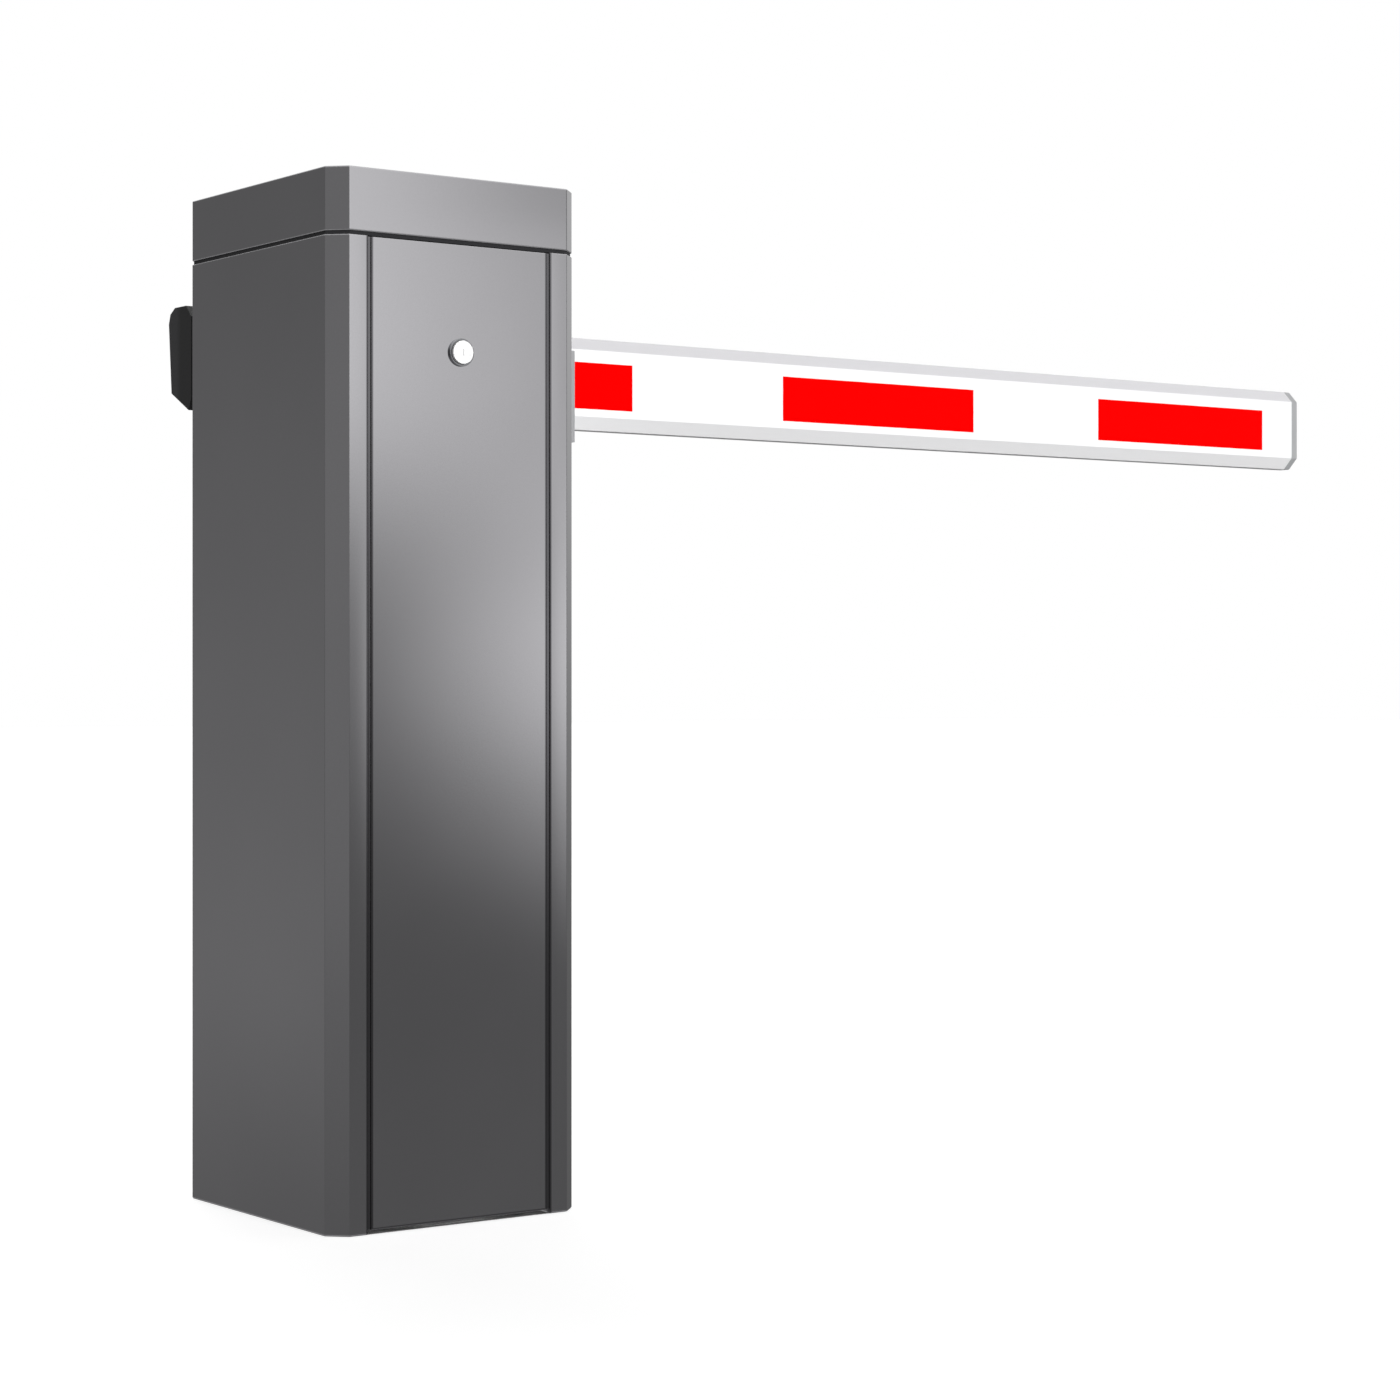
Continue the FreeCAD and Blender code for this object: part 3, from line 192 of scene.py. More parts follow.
def painted_gap_shade(graph, coords):
    """Painted shade mask: 1 on the rolled edges beside the door's long gaps and at its foot, 0 on the flat
    sheet.
    """
    door, opening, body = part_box("door"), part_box("door_frame"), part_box("cabinet_body")
    gap = (door[1].x + opening[1].x) / 2
    x, y, z = graph.add("ShaderNodeSeparateXYZ", {0: coords}).outputs
    across = graph.math("ABSOLUTE", x)
    away = graph.math("ABSOLUTE", graph.math("SUBTRACT", across, gap))
    front = fade(graph, y, door[0].y, BAND_DEPTH)
    below_cap = fade(graph, z, body[1].z, BAND_TOP)
    beside = graph.spread(away, BAND_BESIDE[1] * MM, BAND_BESIDE[0] * MM, smooth=True)
    foot = graph.math("MULTIPLY", fade(graph, z, door[0].z, BAND_FOOT),
                      graph.math("LESS_THAN", across, gap))
    near = graph.math("MAXIMUM", beside, foot)
    return graph.math("MULTIPLY", near, graph.math("MULTIPLY", front, below_cap))


def powder_coat():
    """Dark grey metallic powder coat: smooth satin with tiny flakes and a faint orange peel, and painted
    shade beside the door's gaps.
    """
    material, graph, shader, coords = start_material("powder_coat")
    flakes = graph.add("ShaderNodeTexVoronoi", {"Vector": coords, "Scale": 1400.0}).outputs["Distance"]
    peel = graph.noise(coords, 420.0, 2.0)
    broad = graph.noise(coords, 3.0, 3.0)
    base = graph.mix(graph.spread(broad, 0.3, 0.7), srgb("b8b7ba"), srgb("bebdc0"))
    base = graph.mix(graph.spread(flakes, 0.15, 0.5, 0.18, 0.0), base, srgb("d8d8dc"))
    edge = edge_mask(graph, coords, 0.0016, 60.0)
    base = graph.mix(graph.math("MULTIPLY", edge, 0.10), base, srgb("e2e2e4"))
    # painted shade: the colour darkens to 737275 on the edges beside the door's gaps and at its foot
    wire(graph, graph.mix(painted_gap_shade(graph, coords), base, srgb("737275")), shader, "Base Color")
    wire(graph, graph.spread(broad, 0.3, 0.7, 0.07, 0.095), shader, "Roughness")
    shader.inputs["Metallic"].default_value = 1.0
    folded = graph.add("ShaderNodeBevel", {"Radius": 0.0014}, samples=6).outputs[0]
    relief = graph.add("ShaderNodeBump", {"Height": peel, "Strength": 0.012, "Distance": 0.0002,
                                          "Normal": folded})
    wire(graph, relief.outputs[0], shader, "Normal")
    return material


def boom_paint():
    """White powder coat with painted shade: the bevels of the profile are coloured greyer than its faces."""
    material, graph, shader, coords = start_material("boom_white")
    broad = graph.noise(coords, 5.0, 4.0)
    fine = graph.noise(coords, 650.0, 2.0)
    up = graph.add("ShaderNodeSeparateXYZ", {0: graph.add("ShaderNodeNewGeometry").outputs["Normal"]})
    tilt = up.outputs["Z"]
    # painted shade: bevels that face up turn grey (e2e1e4), bevels that face down a touch greyer (f8f8f9)
    upper = graph.math("MULTIPLY", graph.spread(tilt, 0.3, 0.6), graph.spread(tilt, 0.98, 0.8))
    lower = graph.math("MULTIPLY", graph.spread(tilt, -0.3, -0.6), graph.spread(tilt, -0.98, -0.8))
    tone = graph.mix(graph.spread(broad, 0.3, 0.7), srgb("f9f9fa"), srgb("fcfcfd"))
    tone = graph.mix(upper, tone, srgb("e2e1e4"))
    tone = graph.mix(lower, tone, srgb("f8f8f9"))
    scuffs = graph.noise(coords, 40.0, 5.0, (0.15, 1, 1), 0.7)
    tone = graph.mix(graph.spread(scuffs, 0.66, 0.8, 0.0, 0.25), tone, srgb("dcdcdc"))
    edge = edge_mask(graph, coords, 0.0008, 160.0)
    tone = graph.mix(graph.math("MULTIPLY", edge, 0.3), tone, srgb("e3e3e4"))
    wire(graph, tone, shader, "Base Color")
    wire(graph, graph.spread(broad, 0.3, 0.7, 0.28, 0.36), shader, "Roughness")
    shader.inputs["Specular IOR Level"].default_value = 0.25
    relief = graph.add("ShaderNodeBump", {"Height": fine, "Strength": 0.03, "Distance": 0.0003})
    wire(graph, relief.outputs[0], shader, "Normal")
    return material


def tail_plastic():
    """Black moulded end piece, with painted shade: darker towards the cabinet, where its face turns in."""
    material = surface("tail_plastic", srgb("39393b"), 0.5, vary=0.08, grain=1100, bump=0.12)
    graph = Graph(material.node_tree)
    shader = material.node_tree.nodes["Principled BSDF"]
    lit = shader.inputs["Base Color"].links[0].from_socket
    place = graph.add("ShaderNodeSeparateXYZ", {0: graph.add("ShaderNodeTexCoord").outputs["Object"]})
    turned_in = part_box("boom_tail_cap")[0].y
    # painted shade: the colour darkens to 1d1d1e within 25 to 34 mm of the piece's end nearest the cabinet
    shaded_end = fade(graph, place.outputs["Y"], turned_in, (25, 34))
    wire(graph, graph.mix(shaded_end, lit, srgb("1d1d1e")), shader, "Base Color")
    return material


def reflective_film():
    """Red retroreflective film with the faint hexagon cells of its backing."""
    material, graph, shader, coords = start_material("reflective_film")
    flat = graph.add("ShaderNodeMapping", {"Vector": coords, "Scale": (1, 0, 1)}).outputs[0]
    cells = graph.add("ShaderNodeTexVoronoi", {"Vector": flat, "Scale": 260.0, "Randomness": 0.0},
                      feature="DISTANCE_TO_EDGE").outputs["Distance"]
    line = graph.spread(cells, 0.02, 0.07, 1.0, 0.0)
    broad = graph.noise(coords, 14.0)
    tone = graph.mix(graph.spread(broad, 0.3, 0.7), srgb("fa0000"), srgb("ff0000"))
    tone = graph.mix(graph.math("MULTIPLY", line, 0.16), tone, srgb("b80000"))
    wire(graph, tone, shader, "Base Color")
    wire(graph, graph.spread(broad, 0.3, 0.7, 0.3, 0.4), shader, "Roughness")
    shader.inputs["Specular IOR Level"].default_value = 0.04
    relief = graph.add("ShaderNodeBump", {"Height": cells, "Strength": 0.06, "Distance": 0.0002})
    wire(graph, relief.outputs[0], shader, "Normal")
    return material


BOARD_PARTS_DEPTH = 16  # how far the board's bare face lies behind its tallest part, in millimetres


def board_place(x, z, lift=0.0):
    """A place on the front of the circuit board, in millimetres from its centre."""
    return at("circuit_board", 0.5, 0, 0.5, x, BOARD_PARTS_DEPTH - lift, z)


def board_finish():
    """Solder mask with copper tracks; the relays are dark blue and the terminal row is pale."""
    material, graph, shader, coords = start_material("green_board")
    x, y, z = graph.add("ShaderNodeSeparateXYZ", {0: coords}).outputs
    flat = graph.add("ShaderNodeCombineXYZ", {0: x, 1: z}).outputs[0]
    blotch = graph.noise(coords, 60.0)
    mask = graph.mix(graph.spread(blotch, 0.3, 0.7), srgb("0e4a24"), srgb("14562c"))
    lanes = graph.add("ShaderNodeTexBrick", {"Vector": flat, "Scale": 70.0, "Mortar Size": 0.035,
                                             "Mortar Smooth": 0.1}).outputs["Fac"]
    tone = graph.mix(graph.math("MULTIPLY", lanes, 0.25), mask, srgb("3f8a4f"))
    face = board_place(0, 0)
    raised = graph.spread(y, face.y - 0.2 * MM, face.y - 0.4 * MM)
    upper = graph.spread(z, face.z + 20 * MM, face.z + 21 * MM)
    parts = graph.mix(upper, srgb("1c2c4e"), srgb("67706a"))
    tone = graph.mix(raised, tone, parts)
    wire(graph, tone, shader, "Base Color")
    wire(graph, graph.spread(blotch, 0.3, 0.7, 0.32, 0.42), shader, "Roughness")
    relief = graph.add("ShaderNodeBump", {"Height": lanes, "Strength": 0.15, "Distance": 0.0002})
    wire(graph, relief.outputs[0], shader, "Normal")
    return material


FINISH = {
    "cabinet": powder_coat(),
    "film": reflective_film(),
    "frame": surface("frame_paint", srgb("55585b"), 0.55, vary=0.1, grain=700, bump=0.08,
                     wear=srgb("8d8f90"), dust=0.25),
    "boom_white": boom_paint(),
    "cap_grey": surface("cap_grey", srgb("acadaf"), 0.45, vary=0.04, grain=800, bump=0.06,
                        wear=srgb("c9c9cb"), wear_amount=0.35),
    "tail_plastic": tail_plastic(),
    "black_plastic": surface("black_plastic", srgb("2b2b2e"), 0.5, vary=0.12, grain=1100, bump=0.12,
                             wear=srgb("4a4a4d"), wear_amount=0.4),
    "aluminium": surface("aluminium", srgb("b6b7b9"), 0.44, 0.5, vary=0.04, grain=900, bump=0.05,
                         stretch=(0.02, 1, 1), wear=srgb("e6e6e8"), wear_amount=0.4),
    "cast_alloy": surface("cast_alloy", srgb("a5a7a9"), 0.5, 0.5, vary=0.08, grain=450, bump=0.2,
                          wear=srgb("d6d7d8"), wear_amount=0.4),
    "zinc": surface("zinc", srgb("c2c4c4"), 0.34, 0.7, vary=0.07, grain=500, bump=0.05, blotch=60,
                    wear=srgb("e8e8e6"), wear_amount=0.3),
    "ground_steel": surface("ground_steel", srgb("b4b4b3"), 0.2, 1.0, vary=0.05, grain=1500, bump=0.04,
                            stretch=(1, 0.03, 1)),
    "iron": surface("iron", srgb("3c3f42"), 0.5, 0.2, vary=0.12, grain=380, bump=0.35,
                    wear=srgb("8a8c8e"), wear_amount=0.6),
    "bronze": surface("bronze", srgb("c39a56"), 0.28, 1.0, vary=0.08, grain=900, bump=0.05),
    "spring": surface("spring_steel", srgb("85888c"), 0.34, 0.7, vary=0.12, grain=900, bump=0.08, blotch=40),
    "motor": surface("motor_paint", srgb("232427"), 0.38, vary=0.1, grain=650, bump=0.14,
                     wear=srgb("7c7d7f"), wear_amount=0.5),
    "laminations": surface("laminations", srgb("7a7066"), 0.45, 0.8, vary=0.1, grain=1400, bump=0.3,
                           stretch=(0.05, 0.05, 1)),
    "rubber": surface("rubber", srgb("242426"), 0.72, vary=0.12, grain=900, bump=0.2, dust=0.08),
    "chrome": surface("chrome", srgb("9b9c9f"), 0.22, 1.0, vary=0.04, grain=900, bump=0.02),
    "white_disc": surface("white_disc", srgb("fbfbfb"), 0.3, vary=0.01, grain=900, bump=0.02, coat=0.2),
    "grey_plastic": surface("grey_plastic", srgb("b4b6b8"), 0.42, vary=0.03, grain=1000, bump=0.08,
                            wear=srgb("e2e2e2"), wear_amount=0.3),
    "green_board": board_finish(),
    "chip": surface("chip", srgb("1b1b1d"), 0.42, vary=0.1, grain=1500, bump=0.15),
    "label": surface("label", srgb("d9d9d4"), 0.5, vary=0.02, grain=700, bump=0.03),
    "cable_grey": surface("cable_grey", srgb("8d8f92"), 0.5, vary=0.06, grain=1200, bump=0.1),
    "red_plastic": surface("red_plastic", srgb("b0241d"), 0.35, vary=0.06, grain=900, bump=0.05, coat=0.1),
    "cable_black": surface("cable_black", srgb("222224"), 0.5, vary=0.1, grain=1200, bump=0.1),
    "cable_blue": surface("cable_blue", srgb("2b4f93"), 0.45, vary=0.1, grain=1200, bump=0.08),
    "cable_brown": surface("cable_brown", srgb("6a4630"), 0.45, vary=0.1, grain=1200, bump=0.08),
    "cable_green": surface("cable_green", srgb("5b8a3c"), 0.45, vary=0.1, grain=1200, bump=0.08),
}

NODE_FINISH = {
    "cabinet": ("cabinet_body", "cap", "door"),
    "film": ("reflectors",),
    "frame": ("base_plate", "door_frame", "rear_plate", "front_beam", "motor_plate", "spring_anchor",
              "control_plate"),
    "boom_white": ("boom_profile",),
    "cap_grey": ("boom_tip_cap",),
    "tail_plastic": ("boom_tail_cap",),
    "black_plastic": ("control_box",),
    "aluminium": ("boom_cradle",),
    "cast_alloy": ("gearbox_housing", "gearbox_cover"),
    "zinc": ("frame_bolts", "boom_bolts", "clamp_nuts", "clamp_plate", "spring_adjusters", "din_rail",
             "boom_spacers", "door_hinge_brackets", "crank_pin", "rocker_pin", "limit_cams",
             "shaft_flange", "lock_cam"),
    "ground_steel": ("main_shaft", "output_shaft", "worm_shaft", "bearing_inserts", "spring_rod"),
    "iron": ("rocker", "crank_arm", "spring_lever", "connecting_rod", "bearing_housing_rear",
             "bearing_housing_front"),
    "bronze": ("worm_wheel",),
    "motor": ("motor_housing", "transformer"),
    "laminations": ("motor_rotor",),
    "rubber": ("cap_seal", "door_seal", "rubber_buffers", "clamp_pad", "shaft_seal"),
    "chrome": ("lock_barrel",),
    "white_disc": ("lock_plug",),
    "grey_plastic": ("circuit_breaker", "limit_switches"),
    "cable_black": ("breaker_toggle", "cable_conduit"),
    "green_board": ("circuit_board",),
    "red_plastic": ("release_knob",),
}

# ---- edges -----------------------------------------------------------------------------

# Rounding of the edges that can be seen, in millimetres.
EDGE_ROUND = {"cap": 0.9, "boom_profile": 0.8, "boom_tip_cap": 1.2,
              "boom_tail_cap": 2.5, "boom_cradle": 0.8, "clamp_plate": 0.8, "lock_barrel": 0.5,
              "lock_plug": 0.4, "shaft_flange": 0.8, "clamp_pad": 1.0, "control_box": 2.0,
              "gearbox_housing": 2.0, "motor_housing": 1.2, "release_knob": 1.5, "rocker": 1.0,
              "crank_arm": 1.0, "front_beam": 0.6, "bearing_housing_front": 1.5, "connecting_rod": 0.8,
              "circuit_breaker": 0.6, "breaker_toggle": 0.5}
# Folded sheets are too thin for Blender's own width limit, so it is switched off for them.
FOLD_ROUND = {"cabinet_body": 0.6, "door": 0.5}
ROUND_SHARPER_THAN = 32  # degrees
SAME_POINT = 1e-5        # metres
SAME_PLANE = 0.5         # degrees


def round_edges(name, radius):
    """Join the node's triangles into flat faces and round the sharp edges between them."""
    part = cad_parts[name]
    part.modifiers.new("weld", "WELD").merge_threshold = SAME_POINT
    flat = part.modifiers.new("flat", "DECIMATE")
    flat.decimate_type = "DISSOLVE"
    flat.angle_limit = math.radians(SAME_PLANE)
    rounding = part.modifiers.new("round", "BEVEL")
    rounding.limit_method = "ANGLE"
    rounding.angle_limit = math.radians(ROUND_SHARPER_THAN)
    rounding.width = radius * MM
    rounding.segments = 2
    rounding.use_clamp_overlap = name not in FOLD_ROUND
    part.modifiers.new("normals", "WEIGHTED_NORMAL").keep_sharp = False


def finish_nodes():
    for finish, names in NODE_FINISH.items():
        for name in names:
            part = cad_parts[name]
            part.data.materials.clear()
            part.data.materials.append(FINISH[finish])
    for name, radius in (EDGE_ROUND | FOLD_ROUND).items():
        round_edges(name, radius)


def hide_boom_from_mirrors():
    """A picture effect: the cabinet's satin paint mirrors the room, but not the boom."""
    for name in ("boom_profile", "reflectors", "boom_tip_cap", "boom_tail_cap", "boom_cradle",
                 "clamp_pad", "clamp_plate", "clamp_nuts", "boom_bolts", "boom_spacers"):
        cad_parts[name].visible_glossy = False


# ---- mesh helpers ----------------------------------------------------------------------

def add_piece(name, mesh, material, body, smooth=True):
    """Show a mesh as a piece that rides on a body and has one of the finishes."""
    piece = bpy.data.objects.new(name, mesh)
    scene.collection.objects.link(piece)
    mesh.materials.clear()
    mesh.materials.append(FINISH[material])
    for face in mesh.polygons:
        face.use_smooth = smooth
    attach(piece, body)
    return piece


def finished(made, name):
    """The mesh of a bmesh, which is freed."""
    mesh = bpy.data.meshes.new(name)
    made.to_mesh(mesh)
    made.free()
    return mesh


def box_mesh(name, boxes):
    """One mesh of plain boxes, each given by its lowest and highest corner in metres."""
    made = bmesh.new()
    for low, high in boxes:
        size = [b - a for a, b in zip(low, high)]
        middle = [(a + b) / 2 for a, b in zip(low, high)]
        bmesh.ops.create_cube(made, size=1.0, matrix=Matrix.LocRotScale(middle, None, size))
    return finished(made, name)


def disc_mesh(name, discs, sides=20):
    """Short cylinders, each given by its base centre, its tip centre and its radius in mm."""
    made = bmesh.new()
    for base, tip, radius in discs:
        turn = (tip - base).to_track_quat("Z", "Y").to_matrix().to_4x4()
        place = Matrix.Translation((base + tip) / 2) @ turn
        bmesh.ops.create_cone(made, cap_ends=True, segments=sides, radius1=radius * MM,
                              radius2=radius * MM, depth=(tip - base).length, matrix=place)
    return finished(made, name)


TUBE_SIDES = 8


def swept_tube(paths, radius, sides=TUBE_SIDES):
    """One mesh of round tubes along the given point lists, with closed ends."""
    made = bmesh.new()
    for path in paths:
        rings = []
        normal = None
        for i, point in enumerate(path):
            ahead = (path[min(i + 1, len(path) - 1)] - path[max(i - 1, 0)]).normalized()
            if normal is None:
                normal = ahead.orthogonal().normalized()
            normal = (normal - ahead * normal.dot(ahead)).normalized()
            across = ahead.cross(normal)
            rings.append([made.verts.new(point + radius * (normal * math.cos(t) + across * math.sin(t)))
                          for t in (2 * math.pi * k / sides for k in range(sides))])
        for one, two in zip(rings, rings[1:]):
            for k in range(sides):
                made.faces.new((one[k], one[(k + 1) % sides], two[(k + 1) % sides], two[k]))
        made.faces.new(list(reversed(rings[0])))
        made.faces.new(rings[-1])
    bmesh.ops.recalc_face_normals(made, faces=made.faces)
    return finished(made, "tubes")


def curve_points(points, steps=8):
    """Catmull-Rom points through the given places."""
    places = [Vector(p) for p in points]
    padded = [2 * places[0] - places[1], *places, 2 * places[-1] - places[-2]]
    line = []
    for a, b, c, d in zip(padded, padded[1:], padded[2:], padded[3:]):
        for k in range(steps):
            t = k / steps
            line.append(0.5 * ((2 * b) + (c - a) * t + (2 * a - 5 * b + 4 * c - d) * t * t
                               + (3 * b - a - 3 * c + d) * t ** 3))
    line.append(places[-1])
    return line


# ---- weather lip in the door gap ---------------------------------------------------------

LIP_DEPTH = (0.9, 2.4)      # from the door's face to the lip's front and back, in millimetres
LIP_CLEARANCE = 0.15        # between the lip and the door, in millimetres
JAMB_CLEARANCE = 0.02


def weather_lip():
    """Thin painted lips on the jambs close the gap beside the door just behind its face."""
    low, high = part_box("door")
    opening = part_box("door_frame")[1].x
    boxes = []
    for side in (-1, 1):
        ends = sorted((side * (high.x + LIP_CLEARANCE * MM), side * (opening - JAMB_CLEARANCE * MM)))
        boxes.append(((ends[0], low.y + LIP_DEPTH[0] * MM, low.z),
                      (ends[1], low.y + LIP_DEPTH[1] * MM, high.z)))
    add_piece("weather_lip", box_mesh("weather_lip", boxes), "cabinet", "cabinet",
              smooth=False)


# ---- balance springs -------------------------------------------------------------------

# Sizes of the balance springs, in millimetres.
SPRING_WIRE = 2.1      # radius of the wire
COIL_PITCH = 4.9
COIL_SIDES = 16        # points in one turn
NARROWEST = 0.55       # share of the coil's radius at its ends, where it runs into the hooks
HOOK_RADIUS = 9.4
HOOK_REACH = 24        # from the middle of a hook to the first coil
FRAME_INSET = 14       # from the box's side to a spring's middle line
YOKE_INSET = 12        # from the hanging rod's ends to its two pins
EYE_INSET = 9.5        # from the adjusters' top to the middle of their eyes
LOWER_HOOK_LIFT = 7    # the lower hook's middle above the middle of the eye
HOOK_STEP = 30         # degrees between points on a hook


def hook(centre, across, height, first, step):
    """Eleven points round a hook; across is the level direction that it opens in."""
    turn = [math.radians(first + step * k) for k in range(11)]
    return [centre + across * math.cos(t) + Vector((0, 0, height + HOOK_RADIUS * MM * math.sin(t)))
            for t in turn]


def coil(centre, radius, foot, top):
    """Close-wound turns, narrowing over the first and the last turn."""
    turns = int((top - foot) / (COIL_PITCH * MM))
    last = turns * COIL_SIDES
    points = []
    for k in range(last + 1):
        t = 2 * math.pi * k / COIL_SIDES
        grow = min(1.0, k / COIL_SIDES, (last - k) / COIL_SIDES)
        reach = radius * (NARROWEST + (1 - NARROWEST) * grow)
        points.append(centre + Vector((reach * math.cos(t), reach * math.sin(t),
                                       foot + (top - foot) * k / last)))
    return points


def balance_springs():
    """Two close-wound springs hooked over the yoke above and through the adjusters' eyes below.
    """
    low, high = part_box("balance_springs")
    rod_low, rod_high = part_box("spring_rod")
    middle_x = (low.x + high.x) / 2
    coil_radius = (high.x - low.x) / 2 - SPRING_WIRE * MM
    yoke_z = rod_low.z + YOKE_INSET * MM
    eye_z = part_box("spring_adjusters")[1].z - EYE_INSET * MM
    foot, top = eye_z + HOOK_REACH * MM, yoke_z - HOOK_REACH * MM
    along_x, along_y = Vector((HOOK_RADIUS * MM, 0, 0)), Vector((0, HOOK_RADIUS * MM, 0))
    paths = []
    for y in (low.y + FRAME_INSET * MM, high.y - FRAME_INSET * MM):
        centre = Vector((middle_x, y, 0))
        paths.append(hook(centre, along_y, eye_z + LOWER_HOOK_LIFT * MM, 390, -HOOK_STEP)
                     + coil(centre, coil_radius, foot, top)
                     + hook(centre, along_x, yoke_z, -60, HOOK_STEP))
    mesh = swept_tube(paths, SPRING_WIRE * MM)
    springs = add_piece("balance_spring_coils", mesh, "spring", "cabinet")
    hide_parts("balance_springs")
    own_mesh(springs)


# ---- wiring and the small parts on the control plate --------------------------------------

# Cable radii in millimetres. Each route starts, turns and ends beside a CAD part, by at().
CABLE_RADIUS = {"supply_cable": 3.4, "motor_cable": 3.2, "switch_cables": 2.0, "live_wires": 1.4,
                "neutral_wires": 1.4, "earth_wire": 1.8}


def cable(name, finish, *routes):
    """Round cables through the given places."""
    mesh = swept_tube([curve_points(route) for route in routes], CABLE_RADIUS[name] * MM)
    add_piece(name, mesh, finish, "cabinet")


def gland_places():
    """Where cables enter the control box: two below it and two at its right side."""
    return {"feed": at("control_box", 0.5, 0.5, 0, -50, 2, 0),
            "transformer": at("control_box", 0.5, 0.5, 0, 60, 1, 0),
            "motor": at("control_box", 1, 0.5, 0.5, 0, 0, 4),
            "switches": at("control_box", 1, 0.5, 1, 0, 1, -40)}


def supply_cable():
    """From the conduit over the right wall, under the control plate and up to the breaker."""
    plate = "control_plate"
    cable("supply_cable", "cable_black",
          [at("cable_conduit", 0.5, 0.5, 1, 0, 0, -18), at("cable_conduit", 0.5, 0.5, 1, 1, -2, 22),
           at("cable_conduit", 0.5, 0.5, 1, 28, -27, 28), at(plate, 1, 1, 0, -18, 70, 46),
           at(plate, 1, 1, 0, -18, 18, -12), at(plate, 1, 0, 0, -38, 0, -34),
           at(plate, 0.5, 0, 0, 40, -16, -32), at("circuit_breaker", 0.5, 0.5, 0, 22, 1, -49),
           at("circuit_breaker", 0.5, 0.5, 0, 2, -1, -25), at("circuit_breaker", 0.5, 0.5, 0, 0, -1, 1)])


def motor_cable(gland):
    """From the motor's side over the top of the control plate into the box."""
    cable("motor_cable", "cable_black",
          [at("motor_housing", 1, 0.5, 1, -4, 0, -35), at("motor_housing", 1, 0.5, 1, 14, -8, -25),
           at("motor_housing", 1, 0, 1, 24, -6, -18), at("control_plate", 1, 1, 1, -28, 10, 18),
           at("control_plate", 1, 0, 1, -32, -10, 10), at("control_box", 1, 0.5, 1, 14, -2, -14),
           gland + Vector((12, -2, 21)) * MM, gland + Vector((8, -1, 4)) * MM,
           gland + Vector((-5, 0, 0)) * MM])


def switch_cables(gland):
    """One cable from each limit switch, down beside the right jamb."""
    routes = []
    for side in (-5, 5):
        near = Vector((0, 0.6 * side, 0)) * MM
        routes.append([at("limit_switches", 1, 0.5, 0, -6, side, 4),
                       at("limit_switches", 1, 0.5, 0, -6, side, -14),
                       at("limit_switches", 1, 0.5, 0, 11, side - 4, -38),
                       at("limit_switches", 1, 0.5, 0, 41, side - 6, -56),
                       at("limit_switches", 1, 0.5, 0, 49, side - 6, -102),
                       at("control_box", 1, 0.5, 1, 11, side - 4, 160),
                       at("control_box", 1, 0.5, 1, 12, side - 4, 20),
                       gland + near + Vector((12, 0, 20)) * MM, gland + near + Vector((7, 0, 5)) * MM,
                       gland + near + Vector((-5, 0, 0)) * MM])
    cable("switch_cables", "cable_grey", *routes)


def inner_wires(feed, transformer):
    """Live and neutral: breaker to box, and transformer to box."""
    for name, finish, side in (("live_wires", "cable_brown", -3), ("neutral_wires", "cable_blue", 3)):
        breaker_top = at("circuit_breaker", 0.5, 0.5, 1, 2.4 * side, -1, -4)
        winding = at("transformer", 0.5, 0, 1, 2 * side, 4, -14)
        aside = Vector((side, 0, 0)) * MM
        cable(name, finish,
              [breaker_top, at("circuit_breaker", 0.5, 0.5, 1, -4 + 1.4 * side, 1, 3),
               feed + aside + Vector((0, -1, -2)) * MM, feed + aside + Vector((0, 0, 6)) * MM],
              [winding, winding + Vector((0, -16, 14)) * MM,
               at("transformer", 0.5, 0, 1, 1 + side, -20, 48),
               at("control_plate", 0.5, 0, 0, 58 + side, -13, 10),
               transformer + aside + Vector((0, 0, -50)) * MM, transformer + aside + Vector((0, 0, 6)) * MM])


def earth_wire():
    """From the base plate beside the right wall up to the control plate."""
    cable("earth_wire", "cable_green",
          [at("base_plate", 1, 0, 1, -24, 33, 1), at("base_plate", 1, 0, 1, -23, 32, 32),
           at("base_plate", 1, 0, 1, -20, 33, 92), at("control_plate", 1, 0, 0, -22, -8, -30),
           at("control_plate", 1, 0, 0, -28, -6, -2), at("control_plate", 1, 0, 0, -32, -4, 14),
           at("control_plate", 1, 0, 0, -32, 0, 16)])


GLAND_RADIUS = {"feed": 6.8, "transformer": 6.5, "motor": 6.5, "switches": 7.5}
GLAND_LENGTH = 7            # outside the box's wall; both in millimetres


def wiring():
    """All cables, and a gland wherever one enters the control box."""
    place = gland_places()
    supply_cable()
    motor_cable(place["motor"])
    switch_cables(place["switches"])
    inner_wires(place["feed"], place["transformer"])
    earth_wire()
    right, down = Vector((1, 0, 0)) * MM, Vector((0, 0, -1)) * MM
    way = {"feed": down, "transformer": down, "motor": right, "switches": right}
    collars = [(place[name] - way[name], place[name] + GLAND_LENGTH * way[name], radius)
               for name, radius in GLAND_RADIUS.items()]
    add_piece("cable_glands", disc_mesh("cable_glands", collars, 12), "chip", "cabinet",
              smooth=False)


def terminal_screws():
    """Screw heads on the board's terminal row, on the breaker and on the earth wire's ends."""
    out = Vector((0, -1, 0)) * MM
    heads = [(at("circuit_board", 0.5, 0, 1, -54 + 12 * k, 4, -25), 2.2, out) for k in range(10)]
    heads += [(at("circuit_breaker", 0.5, 0, up, x, 4, lift), 2.4, out)
              for x in (-9, 9) for up, lift in ((0, 6), (1, -6))]
    heads.append((at("control_plate", 1, 0, 0, -32, 0, 16), 4.0, 2.5 * out))
    heads.append((at("base_plate", 1, 0, 1, -24, 33, 0), 5.0, Vector((0, 0, 3)) * MM))
    discs = [(place - 0.3 * way, place + way, size) for place, size, way in heads]
    add_piece("terminal_screws", disc_mesh("terminal_screws", discs, 14), "zinc", "cabinet",
              smooth=False)


